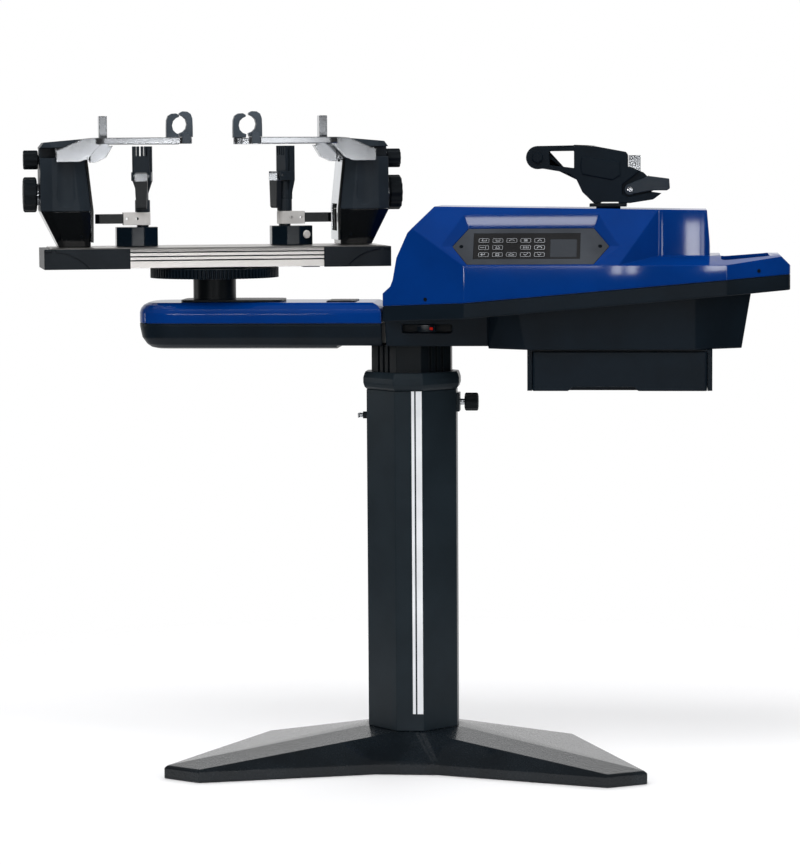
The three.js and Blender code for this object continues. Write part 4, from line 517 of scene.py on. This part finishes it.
def seat(nodes, start, direction):
    """Where a ray meets the nearest of some CAD nodes, as a matrix facing out of that surface."""
    best = None
    for name in nodes:
        found, point, normal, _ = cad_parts[name].ray_cast(start, direction)
        if found and (best is None or (point - start).length < (best[0] - start).length):
            best = (point, normal)
    if best is None:
        raise RuntimeError(f"no surface of {nodes} lies in that direction")
    return facing(*best)


def both_flanks(nodes, x, z):
    """Seats at a place seen from the front and the back of some CAD nodes."""
    return [seat(nodes, Vector((x, 0, z)) + face * FAR, -face) for face in (FRONT, BACK)]


def round_edges(mesh, edges, radius, segments=2):
    bmesh.ops.bevel(
        mesh, geom=edges, offset=radius, segments=segments, affect="EDGES", profile=0.5, material=-1
    )


def add_disc(mesh, place, radius, height, round_off, sides=24):
    """A low disc with a rounded rim on a place, and its top face."""
    outward = place.to_3x3() @ UP
    ring = bmesh.ops.create_circle(
        mesh, cap_ends=True, radius=radius, segments=sides, matrix=place
    )
    foot = ring["verts"][0].link_faces[0]
    risen = bmesh.ops.extrude_face_region(mesh, geom=[foot])["geom"]
    verts = [v for v in risen if isinstance(v, bmesh.types.BMVert)]
    top = [f for f in risen if isinstance(f, bmesh.types.BMFace)][0]
    bmesh.ops.translate(mesh, verts=verts, vec=outward * height)
    round_edges(mesh, list(top.edges), round_off)
    return max(
        mesh.faces, key=lambda f: (f.calc_center_median() - place.translation).dot(outward)
    )


def screw_piece(places, radius, height):
    """Socket screws, each on its place: a rounded head with a round recess."""
    rim, recess = height * 0.3, height * 0.8
    land, draft = radius * 0.35, radius * 0.05
    whole = bmesh.new()
    for place in places:
        mesh = bmesh.new()
        top = add_disc(mesh, Matrix.Identity(4), radius, height, rim)
        bmesh.ops.inset_individual(mesh, faces=[top], thickness=land)
        bmesh.ops.inset_individual(mesh, faces=[top], thickness=draft, depth=-recess)
        bmesh.ops.transform(mesh, matrix=place, verts=mesh.verts)
        data = bpy.data.meshes.new("screw")
        mesh.to_mesh(data)
        mesh.free()
        whole.from_mesh(data)
        bpy.data.meshes.remove(data)
    return whole


def add_box(mesh, place, middle, size, turn=0.0):
    """The verts of a box on a place: its middle in x and y, and its size in x, y and height."""
    matrix = place @ Matrix.Translation((*middle, size[2] / 2)) @ Matrix.Rotation(turn, 4, "Z")
    matrix = matrix @ Matrix.Diagonal((*size, 1))
    return bmesh.ops.create_cube(mesh, size=1.0, matrix=matrix)["verts"]


def plate_mesh(place, corner, size, radii):
    """A plate on a place: its lower left corner, its size, and the radii of its corners and rim."""
    mesh = bmesh.new()
    middle = [start + length / 2 for start, length in zip(corner, size)]
    made = add_box(mesh, place, middle, size)
    outward = place.to_3x3() @ UP
    corner_radius, rim_radius = radii
    upright = [
        e for e in {e for v in made for e in v.link_edges}
        if abs((e.verts[0].co - e.verts[1].co).normalized().dot(outward)) > 0.9
    ]
    round_edges(mesh, upright, corner_radius, segments=4)
    if rim_radius:
        level = size[2] * 0.9
        rim = [
            e for e in mesh.edges
            if all((v.co - place.translation).dot(outward) > level for v in e.verts)
            and len(e.link_faces) == 2
            and e.calc_face_angle(0) > 1
        ]
        round_edges(mesh, rim, rim_radius)
    return mesh


def panel_place(depth=0.0):
    """The panel's plane, with z out of it, at a height above its face."""
    along = Vector((0, math.cos(PANEL_LEAN), math.sin(PANEL_LEAN)))
    outward = Vector((0, -math.sin(PANEL_LEAN), math.cos(PANEL_LEAN)))
    return facing(PANEL_CORNER + outward * depth, outward, along)


def turned(side, u, v=0, height=0):
    """A point of the turntable in millimetres: u outwards, v across, height above the rail."""
    flat = TURNTABLE_TURN @ (Vector((u, v, 0)) * MM * SIDES[side])
    return TURNTABLE_AXIS + flat + UP * (BEAM_TOP + height * MM)


def outward_of(side):
    return TURNTABLE_TURN @ (RIGHT * SIDES[side])


def on_both(*stems):
    """The names of pieces that both halves of the turntable have."""
    return [f"{stem}_{side}" for stem in stems for side in SIDES]


def length_property(name, description, value):
    return bpy.props.FloatProperty(
        name=name, description=description, default=value, unit="LENGTH", precision=4
    )


def colour_property(name, description, value):
    return bpy.props.FloatVectorProperty(
        name=name, description=description, default=value, subtype="COLOR", size=3, min=0, max=1
    )


class MachineSizes(bpy.types.PropertyGroup):
    """Sizes that a user would change."""

    screw_radius: length_property("Screw radius", "Radius of the housing screws", 2.4 * MM)
    thin_line: length_property("Thin line", "Width of the column's thin line", 3.6 * MM)
    thick_line: length_property("Thick line", "Width of the column's thick line", 7.4 * MM)
    sign_width: length_property("Sign width", "Width of the strokes of the key signs", 0.55 * MM)
    floor_radius: length_property("Floor radius", "Radius of the studio floor", 1.3)


class MachineColours(bpy.types.PropertyGroup):
    """Colours that a user would change."""

    shell: colour_property("Shell", "Gloss paint of the covers", (0.0, 0.033, 0.2))
    cast: colour_property("Cast foot", "Leather grain paint of the foot", (0.006, 0.009, 0.012))
    column: colour_property("Column", "Powder coat of the column", (0.011, 0.018, 0.024))
    plastic: colour_property("Black plastic", "Lower shells and drawer", (0.0035, 0.0085, 0.0145))
    tower: colour_property("Tower", "Upper casings of the towers", (0.018, 0.025, 0.033))
    gloss_black: colour_property("Gloss black", "Lower tower casings", (0.002, 0.003, 0.004))
    panel: colour_property("Panel", "Plate of the control panel", (0.05, 0.056, 0.066))
    keypad: colour_property("Keypad", "Membrane of the keys", (0.012, 0.012, 0.013))
    display: colour_property("Display", "Glass of the display", (0.045, 0.05, 0.058))
    signs: colour_property("Signs", "Signs and outlines of the keys", (0.5, 0.52, 0.55))
    lines: colour_property("Lines", "Two painted lines of the column", (0.85, 0.87, 0.9))
    steel: colour_property("Steel", "Arms, shafts and plates", (0.56, 0.58, 0.61))
    aluminium: colour_property("Aluminium", "Grooved rail", (0.66, 0.64, 0.62))
    rubber: colour_property("Rubber", "Knobs and grips", (0.007, 0.01, 0.013))
    lamp: colour_property("Lamp", "Mark on the power switch", (0.75, 0.02, 0.01))


def sizes():
    return bpy.context.scene.machine_sizes


def colours():
    return bpy.context.scene.machine_colours


class MACHINE_OT_stand(bpy.types.Operator):
    """Foot, column, collar and the two screws that hold the height"""

    bl_idname = "machine.stand"
    bl_label = "Stand"

    def execute(self, context):
        paint = colours()
        cast = material(
            "Leather_grain_paint", paint.cast, "cast", coat=0.4, specular=0.12, rounding=3
        )
        powder = material("Column_powder_coat", paint.column, "powder", rounding=1.5)
        dress(["base_casting"], cast)
        dress(["column_outer", "column_collar"], powder)
        dark = material("Column_dark_anodised", shade(paint.column, 0.4), "powder")
        dress(["column_inner"], dark)

        def shaft_of_knob(shader):
            return 1 - shader.along(RIGHT).past(KNOB_SHAFT_END)

        def shaft_of_screw(shader):
            return 1 - shader.along(RIGHT).past(SCREW_SHAFT_END)

        steel = (paint.steel, "steel")
        knob = material("Height_knob_rubber", paint.rubber, "rubber", steel, shaft_of_knob)
        screw = material("Thumb_screw_steel", paint.rubber, "matt", steel, shaft_of_screw)
        dress(["height_knob"], knob)
        dress(["thumb_screw"], screw)
        return {"FINISHED"}


class MACHINE_OT_column_lines(bpy.types.Operator):
    """Two plain painted lines down the front of the column"""

    bl_idname = "machine.column_lines"
    bl_label = "Column lines"

    def execute(self, context):
        low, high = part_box("column_outer")
        paint = material("White_line_paint", colours().lines, "gloss")
        place = facing(Vector((0, low.y, 0)), FRONT)
        foot = low.z + LINE_FOOT
        length = high.z - foot
        lines = ((THIN_LINE_LEFT, sizes().thin_line), (THICK_LINE_LEFT, sizes().thick_line))
        mesh = bmesh.new()
        for left, width in lines:
            middle = (left + width / 2, foot + length / 2)
            add_box(mesh, place, middle, (width, length, LINE_PAINT))
        add_piece("column_lines", mesh, paint, "stand")
        return {"FINISHED"}


class MACHINE_OT_housing(bpy.types.Operator):
    """Upper and lower shell of the tension unit, with the inlet in its back"""

    bl_idname = "machine.housing"
    bl_label = "Housing"

    def execute(self, context):
        paint = colours()
        shell = material(
            "Gloss_shell_paint", paint.shell, "shell", coat=0.7, specular=0.0, rounding=3.5
        )
        lower = material("Lower_shell_plastic", paint.plastic, "moulded", rounding=3)
        dress(["housing_upper"], shell)
        dress(["housing_lower", "power_inlet"], lower)
        return {"FINISHED"}


class MACHINE_OT_housing_screws(bpy.types.Operator):
    """Small dark screws that hold the upper shell"""

    bl_idname = "machine.housing_screws"
    bl_label = "Housing screws"

    def execute(self, context):
        dark = material("Dark_screw", shade(colours().plastic, 0.6), "matt")
        places = []
        for x, z in HOUSING_SCREWS:
            places += both_flanks(["housing_upper"], x, z)
        mesh = screw_piece(places, sizes().screw_radius, HOUSING_SCREW_HEIGHT)
        add_piece("housing_screws", mesh, dark, "deck")
        return {"FINISHED"}


class MACHINE_OT_arm(bpy.types.Operator):
    """Turntable arm with its gloss cover and the pad before the housing"""

    bl_idname = "machine.arm"
    bl_label = "Arm"

    def execute(self, context):
        plastic = made_earlier("Lower_shell_plastic")
        dress(["arm_lower"], plastic)
        dress(["arm_upper"], made_earlier("Gloss_shell_paint"))
        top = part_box("arm_upper")[1].z
        mesh = plate_mesh(facing(UP * top, UP, BACK), PAD_CORNER, PAD_SIZE, PAD_RADII)
        add_piece("arm_pad", mesh, plastic, "deck")
        return {"FINISHED"}


class MACHINE_OT_panel(bpy.types.Operator):
    """Control panel with its membrane, display and end screws"""

    bl_idname = "machine.panel"
    bl_label = "Control panel"

    def execute(self, context):
        paint = colours()
        dress(["panel_plate"], material("Panel_grey_plastic", paint.panel, "matt"))
        membrane = material("Key_membrane", paint.keypad, "moulded", specular=0.5)
        dress(["keypad_overlay"], membrane)
        glass = material("Display_glass", paint.display, "glass")
        mesh = plate_mesh(panel_place(SCREEN_TOP), SCREEN_CORNER, SCREEN_SIZE, SCREEN_RADII)
        add_piece("display_glass", mesh, glass, "deck")
        ends = [panel_place() @ Matrix.Translation((*place, 0)) for place in PANEL_SCREWS]
        mesh = screw_piece(ends, sizes().screw_radius, PANEL_SCREW_HEIGHT)
        add_piece("panel_screws", mesh, made_earlier("Dark_screw"), "deck")
        return {"FINISHED"}


class MACHINE_OT_key_signs(bpy.types.Operator):
    """Outlines and plain signs on the fourteen keys"""

    bl_idname = "machine.key_signs"
    bl_label = "Key signs"

    def execute(self, context):
        light = material("Key_sign_print", colours().signs, "matt")
        first = KEY_CORNER + KEY_SIZE / 2
        mesh = bmesh.new()
        for row, signs in enumerate(KEY_SIGNS):
            for column, bars in enumerate(signs):
                if bars is None:
                    continue
                middle = first + Vector((KEY_PITCH.x * column, KEY_PITCH.y * row))
                place = panel_place(KEY_TOP) @ Matrix.Translation((*middle, 0))
                self.add_sign(mesh, place, bars)
                self.add_outline(mesh, place)
        add_piece("key_signs", mesh, light, "deck")
        return {"FINISHED"}

    def add_sign(self, mesh, place, bars):
        unit = KEY_SIZE.y
        for x, y, share, degrees in bars:
            middle = (x * unit * SIGN_STRETCH_X, y * unit)
            size = (share * unit * SIGN_STRETCH_LENGTH, sizes().sign_width, SIGN_PAINT)
            add_box(mesh, place, middle, size, math.radians(degrees))

    def add_outline(self, mesh, place):
        """Four sides and four slanted corners around a key."""
        half = KEY_SIZE / 2 - OUTLINE_INSET
        thin = sizes().sign_width * OUTLINE_SHARE
        cut = OUTLINE_CUT
        for side in (-1, 1):
            level = (half.x * 2 - 4 * cut, thin, SIGN_PAINT)
            upright = (half.y * 2 - 4 * cut, thin, SIGN_PAINT)
            add_box(mesh, place, (0, side * half.y), level)
            add_box(mesh, place, (side * half.x, 0), upright, math.pi / 2)
            for end in (-1, 1):
                corner = (side * (half.x - cut), end * (half.y - cut))
                turn = math.radians(45 * -side * end)
                add_box(mesh, place, corner, (OUTLINE_CORNER, thin, SIGN_PAINT), turn)


class MACHINE_OT_switch(bpy.types.Operator):
    """Power switch with its red mark"""

    bl_idname = "machine.switch"
    bl_label = "Power switch"

    def execute(self, context):
        dark = shade(colours().plastic, 0.8)
        dress(["power_switch"], material("Switch_plastic", dark, "gloss"))
        low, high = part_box("power_switch")
        x = low.x + (high.x - low.x) * MARK_SHARE
        start = Vector((x, low.y - FAR, (low.z + high.z) / 2))
        place = seat(["power_switch"], start, BACK)
        mesh = plate_mesh(place, MARK_CORNER, MARK_SIZE, MARK_RADII)
        red = material("Red_lamp", colours().lamp, "gloss")
        add_piece("switch_mark", mesh, red, "rocker")
        return {"FINISHED"}


class MACHINE_OT_drawer(bpy.types.Operator):
    """Tool drawer and the cradle that it slides in"""

    bl_idname = "machine.drawer"
    bl_label = "Tool drawer"

    def execute(self, context):
        black = colours().plastic
        dress(["tool_drawer"], material("Drawer_plastic", black, "moulded", rounding=2))
        dress(["drawer_cradle"], material("Cradle_steel_black", black, "powder"))
        return {"FINISHED"}


class MACHINE_OT_drive(bpy.types.Operator):
    """Channel, lead screw, motor and carriage inside the housing"""

    bl_idname = "machine.drive"
    bl_label = "Drive"

    def execute(self, context):
        paint = colours()
        screw = material("Lead_screw_steel", paint.steel, "steel", stretch=(1, 0.1, 0.1))
        dress(["tension_rail"], material("Channel_aluminium", paint.aluminium, "anodised"))
        dress(["drive_screw"], screw)
        dress(["drive_motor"], material("Motor_can", paint.rubber, "powder"))
        dress(["carriage"], material("Carriage_black", paint.rubber, "powder"))
        return {"FINISHED"}


class MACHINE_OT_head(bpy.types.Operator):
    """Tension head with its roller, gripper plates and trigger"""

    bl_idname = "machine.head"
    bl_label = "Tension head"

    def execute(self, context):
        paint = colours()
        body = material("Head_matt_plastic", paint.plastic, "matt", rounding=1.5)
        trigger = material(
            "Trigger_plastic", shade(paint.plastic, 1.9), "moulded", specular=0.5, rounding=1.5
        )
        gripper = material("Gripper_steel", paint.steel, "steel", stretch=(1, 1, 0.05))
        dress(["head_body"], body)
        dress(["trigger_lever"], trigger)
        dress(["nose_wheel"], material("Roller_plastic", paint.rubber, "moulded"))
        dress(["gripper_jaw"], gripper)
        return {"FINISHED"}


class MACHINE_OT_head_screws(bpy.types.Operator):
    """Bright pivot screws of the trigger"""

    bl_idname = "machine.head_screws"
    bl_label = "Head screws"

    def execute(self, context):
        places = both_flanks(["head_body", "trigger_lever"], *TRIGGER_PIVOT)
        mesh = screw_piece(places, *PIVOT_SCREW_HEAD)
        bright = made_earlier("Gripper_steel")
        add_piece("pivot_screws", mesh, bright, "carriage")
        return {"FINISHED"}


class MACHINE_OT_turntable(bpy.types.Operator):
    """Post, gear ring, grooved rail and its end caps"""

    bl_idname = "machine.turntable"
    bl_label = "Turntable"

    def execute(self, context):
        paint = colours()
        post = material("Post_powder_coat", shade(paint.column, 0.5), "powder")
        gear = material("Gear_plastic", shade(paint.plastic, 0.9), "moulded")
        dress(["turntable_post"], post)
        dress(["gear_ring"], gear)

        def grooves(shader):
            height = shader.along(UP, UP * BEAM_TOP)
            first, second, third = (
                1 - abs(height + drop).past(GROOVE_HALF, GROOVE_SEAM) for drop in GROOVES_BELOW_TOP
            )
            return first.or_more(second).or_more(third)

        dark = (shade(paint.plastic, 1), "matt")
        brushed = (0.02, 0.08, 1)
        rail = material("Rail_aluminium", paint.aluminium, "anodised", dark, grooves, brushed)
        dress(["beam"], rail)
        cap = material("Cap_plastic", shade(paint.tower, 0.6), "moulded", rounding=1.5)
        dress(on_both("beam_cap"), cap)
        for side in SIDES:
            middle = turned(side, FOOT_PLATE_OUT)
            middle.z = BEAM_FOOT
            place = facing(middle, -UP, outward_of("right"))
            mesh = plate_mesh(place, FOOT_PLATE_CORNER, FOOT_PLATE_SIZE, FOOT_PLATE_RADII)
            add_piece(f"beam_foot_plate_{side}", mesh, cap, "turntable")
        return {"FINISHED"}


class MACHINE_OT_towers(bpy.types.Operator):
    """Casings and bright inner plates of the two towers"""

    bl_idname = "machine.towers"
    bl_label = "Towers"

    def execute(self, context):
        paint = colours()
        upper = material("Tower_satin_plastic", paint.tower, "moulded", rounding=1.8)
        lower = material(
            "Tower_gloss_plastic", paint.gloss_black, "gloss", specular=0.5, rounding=1.8
        )

        def rims(shader):
            aside = shader.along(TURNTABLE_TURN @ BACK, TURNTABLE_AXIS)
            return abs(aside).past(PLATE_HALF, 2 * SEAM)

        dark = (paint.gloss_black, "gloss")
        plate = material("Tower_plate_steel", paint.steel, "steel", dark, rims, (1, 1, 0.03))
        dress(on_both("tower_upper"), upper)
        dress(on_both("tower_lower"), lower)
        dress(on_both("face_plate"), plate)
        for side in SIDES:
            self.add_screws(side)
        return {"FINISHED"}

    def add_screws(self, side):
        """A dark screw in the front and in the back of a tower's lower casing."""
        out, height = TOWER_SCREW
        middle = turned(side, out, 0, height)
        casing = [f"tower_lower_{side}"]
        faces = [TURNTABLE_TURN @ face for face in (FRONT, BACK)]
        places = [seat(casing, middle + face * FAR, -face) for face in faces]
        mesh = screw_piece(places, *TOWER_SCREW_HEAD)
        screw = made_earlier("Dark_screw")
        add_piece(f"tower_screws_{side}", mesh, screw, f"tower_{side}")


class MACHINE_OT_tower_knobs(bpy.types.Operator):
    """Knobs of the towers, rubber on bright flanges"""

    bl_idname = "machine.tower_knobs"
    bl_label = "Tower knobs"

    def execute(self, context):
        steel = (colours().steel, "steel")
        for side in SIDES:
            for size, edge in KNOB_FLANGES.items():

                def flange(shader):
                    return 1 - shader.along(outward_of(side), turned(side, edge)).past(0)

                name = f"{size}_knob_{side}"
                rubber = material(f"{name}_rubber", colours().rubber, "rubber", steel, flange)
                dress([name], rubber)
        return {"FINISHED"}


class MACHINE_OT_supports(bpy.types.Operator):
    """Centre supports and side arms in bright steel"""

    bl_idname = "machine.supports"
    bl_label = "Supports and side arms"

    def execute(self, context):
        tone = shade(colours().steel, 0.8)
        brushed = (0.2, 0.2, 1)
        steel = material("Arm_polished_steel", tone, "steel", stretch=brushed, rounding=1.5)
        dress(on_both("centre_support"), steel)
        dress(on_both(*(f"side_arm_{place}" for place in PLACES)), steel)
        return {"FINISHED"}


class MACHINE_OT_jaws(bpy.types.Operator):
    """Frame jaws in black nylon"""

    bl_idname = "machine.jaws"
    bl_label = "Frame jaws"

    def execute(self, context):
        tone = shade(colours().tower, 2.6)
        nylon = material("Jaw_nylon", tone, "moulded", specular=0.5, rounding=2)
        dress(on_both(*(f"frame_jaw_{place}" for place in PLACES)), nylon)
        return {"FINISHED"}


class MACHINE_OT_clamps(bpy.types.Operator):
    """String clamps with their bases and levers"""

    bl_idname = "machine.clamps"
    bl_label = "String clamps"

    def execute(self, context):
        paint = colours()
        bright = (paint.steel, "steel")
        # Pale matt colour on the strap and the button is a painted reflection: it stands in for the
        # bright mirror image on their steel
        painted_reflection_pale = (shade(paint.aluminium, 1.2), "matt")

        def neck(shader):
            return shader.along(UP, UP * BEAM_TOP).past(CLAMP_NECK, 2 * SEAM)

        head = material("Clamp_head_black", paint.tower, "powder")
        handle = material("Clamp_handle", paint.rubber, "moulded", bright, neck, specular=0.5)
        for side in SIDES:
            outward = outward_of(side)
            flank = outward.cross(UP)

            def strap(shader):
                return 1 - shader.along(outward, turned(side, STRAP_END)).past(0)

            def button(shader):
                axis = outward.lerp(flank, 0.6).normalized()
                distance = shader.from_axis(axis, turned(side, *BUTTON_MIDDLE))
                outside = shader.along(flank, turned(side, CLAMP_OUT))
                return (1 - distance.past(BUTTON_RADIUS)) * outside.past(BUTTON_FROM, MM)

            # The lock lever's strap and the base's button take the painted reflection
            grip = material(
                f"Lock_lever_{side}", paint.rubber, "moulded", painted_reflection_pale, strap, specular=0.5
            )
            base = material(f"Clamp_base_{side}", paint.plastic, "gloss", painted_reflection_pale, button)
            dress([f"clamp_base_{side}"], base)
            dress([f"clamp_body_{side}", f"clamp_jaw_{side}"], head)
            dress([f"lock_lever_{side}"], grip)
            dress([f"clamp_lever_{side}"], handle)
        return {"FINISHED"}


class MACHINE_OT_stage(bpy.types.Operator):
    """Pale floor, soft lamps, plain world and the camera"""

    bl_idname = "machine.stage"
    bl_label = "Studio"

    def execute(self, context):
        scene = context.scene
        scene.view_settings.view_transform = "Standard"
        self.add_floor(scene)
        self.make_world(scene)
        for lamp in LAMPS:
            self.add_light(scene, *lamp, in_gloss=False)
        for card in CARDS:
            self.add_light(scene, *card, in_gloss=True)
        self.add_camera(scene)
        return {"FINISHED"}

    def add_floor(self, scene):
        """A white disc that fades out at its rim, and is clear from below."""
        radius = sizes().floor_radius
        mesh = bmesh.new()
        bmesh.ops.create_circle(mesh, cap_ends=True, radius=radius, segments=96)
        data = bpy.data.meshes.new("floor")
        mesh.to_mesh(data)
        mesh.free()
        made = bpy.data.materials.new("Floor_white")
        made.use_nodes = True
        shader = Shader(made.node_tree)
        distance = shader.vector("LENGTH", shader.place(), output="Value")
        fade = distance.between(*(radius * share for share in FLOOR_FADE))
        lit = shader.node("ShaderNodeBsdfDiffuse", None, {"Color": FLOOR_WHITE})
        clear = shader.node("ShaderNodeBsdfTransparent")
        below = shader.node("ShaderNodeNewGeometry", output="Backfacing")
        seen = shader.node("ShaderNodeMixShader", None, {0: fade.or_more(below), 1: lit, 2: clear})
        shader.end("ShaderNodeOutputMaterial", seen)
        data.materials.append(made)
        floor = bpy.data.objects.new("floor", data)
        floor.location.z = -FLOOR_DROP
        scene.collection.objects.link(floor)

    def make_world(self, scene):
        """White for the camera, and a room whose light and mirror image differ."""
        world = bpy.data.worlds.new("Studio")
        world.use_nodes = True
        scene.world = world
        shader = Shader(world.node_tree)
        direction = shader.node("ShaderNodeTexCoord", output=0)
        depth = shader.node("ShaderNodeSeparateXYZ", None, {0: direction}, output="Y")
        height = shader.node("ShaderNodeSeparateXYZ", None, {0: direction}, output="Z")
        room = ROOM_LIGHT + height.between(-0.02, 0.16) * UPPER_LIGHT
        # Gloss shows the white backdrop behind, and the dim room in front and at the sides
        backdrop = depth.between(0.4, 0.8) * MIRRORED_BACKDROP
        ceiling = height.between(0.1, 0.5) * MIRRORED_CEILING
        mirrored = MIRRORED_ROOM + backdrop.or_more(ceiling)
        camera = shader.node("ShaderNodeLightPath", output="Is Camera Ray")
        glossy = shader.node("ShaderNodeLightPath", output="Is Glossy Ray")
        through = shader.node("ShaderNodeLightPath", output="Is Transmission Ray")
        strength = shader.mix(glossy, room, mirrored)
        strength = shader.mix(camera.or_more(through), strength, 1.0)
        values = {"Strength": strength, "Color": (1, 1, 1, 1)}
        shader.end("ShaderNodeOutputWorld", shader.node("ShaderNodeBackground", None, values))

    def add_light(self, scene, name, place, target, width, height, power, in_gloss):
        data = bpy.data.lights.new(name, "AREA")
        data.shape = "RECTANGLE"
        data.size, data.size_y, data.energy = width, height, power
        light = bpy.data.objects.new(name, data)
        light.location = place
        aim = Vector(target) - Vector(place)
        light.rotation_euler = aim.to_track_quat("-Z", "Y").to_euler()
        light.visible_camera = False
        light.visible_glossy = in_gloss
        light.visible_diffuse = not in_gloss
        scene.collection.objects.link(light)

    def add_camera(self, scene):
        data = bpy.data.cameras.new("Camera")
        data.lens = FOCAL_PIXELS * SENSOR_WIDTH / PICTURE_PIXELS
        data.clip_end = VIEW_END
        camera = bpy.data.objects.new("Camera", data)
        swing, pitch, roll = map(math.radians, (CAMERA_SWING, CAMERA_PITCH, CAMERA_ROLL))
        x, y = CAMERA_DISTANCE * math.sin(swing), -CAMERA_DISTANCE * math.cos(swing)
        camera.location = (x, y, CAMERA_HEIGHT)
        yaw = swing + math.atan(AIM_PIXELS / FOCAL_PIXELS)
        turn = Matrix.Rotation(yaw, 4, "Z") @ Matrix.Rotation(math.pi / 2 - pitch, 4, "X")
        turn = turn @ Matrix.Rotation(roll, 4, "Z")
        camera.rotation_euler = turn.to_euler()
        scene.collection.objects.link(camera)
        scene.camera = camera


OPERATORS = (
    MACHINE_OT_stand,
    MACHINE_OT_column_lines,
    MACHINE_OT_housing,
    MACHINE_OT_housing_screws,
    MACHINE_OT_arm,
    MACHINE_OT_panel,
    MACHINE_OT_key_signs,
    MACHINE_OT_switch,
    MACHINE_OT_drawer,
    MACHINE_OT_drive,
    MACHINE_OT_head,
    MACHINE_OT_head_screws,
    MACHINE_OT_turntable,
    MACHINE_OT_towers,
    MACHINE_OT_tower_knobs,
    MACHINE_OT_supports,
    MACHINE_OT_jaws,
    MACHINE_OT_clamps,
    MACHINE_OT_stage,
)


class MACHINE_PT_sidebar(bpy.types.Panel):
    """Lists the steps that dress the machine"""

    bl_label = "Stringing Machine"
    bl_space_type = "VIEW_3D"
    bl_region_type = "UI"
    bl_category = "Stringing Machine"

    def draw(self, context):
        for step in OPERATORS:
            self.layout.operator(step.bl_idname)
        for group in (sizes(), colours()):
            for name in group.bl_rna.properties.keys():
                if name not in ("rna_type", "name"):
                    self.layout.prop(group, name)


CLASSES = (MachineSizes, MachineColours, *OPERATORS, MACHINE_PT_sidebar)


def register():
    for each in CLASSES:
        bpy.utils.register_class(each)
    bpy.types.Scene.machine_sizes = bpy.props.PointerProperty(type=MachineSizes)
    bpy.types.Scene.machine_colours = bpy.props.PointerProperty(type=MachineColours)


def unregister():
    del bpy.types.Scene.machine_colours
    del bpy.types.Scene.machine_sizes
    for each in reversed(CLASSES):
        bpy.utils.unregister_class(each)


def main():
    """Registers the add-on and runs its steps in order."""
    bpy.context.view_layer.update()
    register()
    for step in OPERATORS:
        group, name = step.bl_idname.split(".")
        getattr(getattr(bpy.ops, group), name)()


if __name__ == "__main__":
    main()
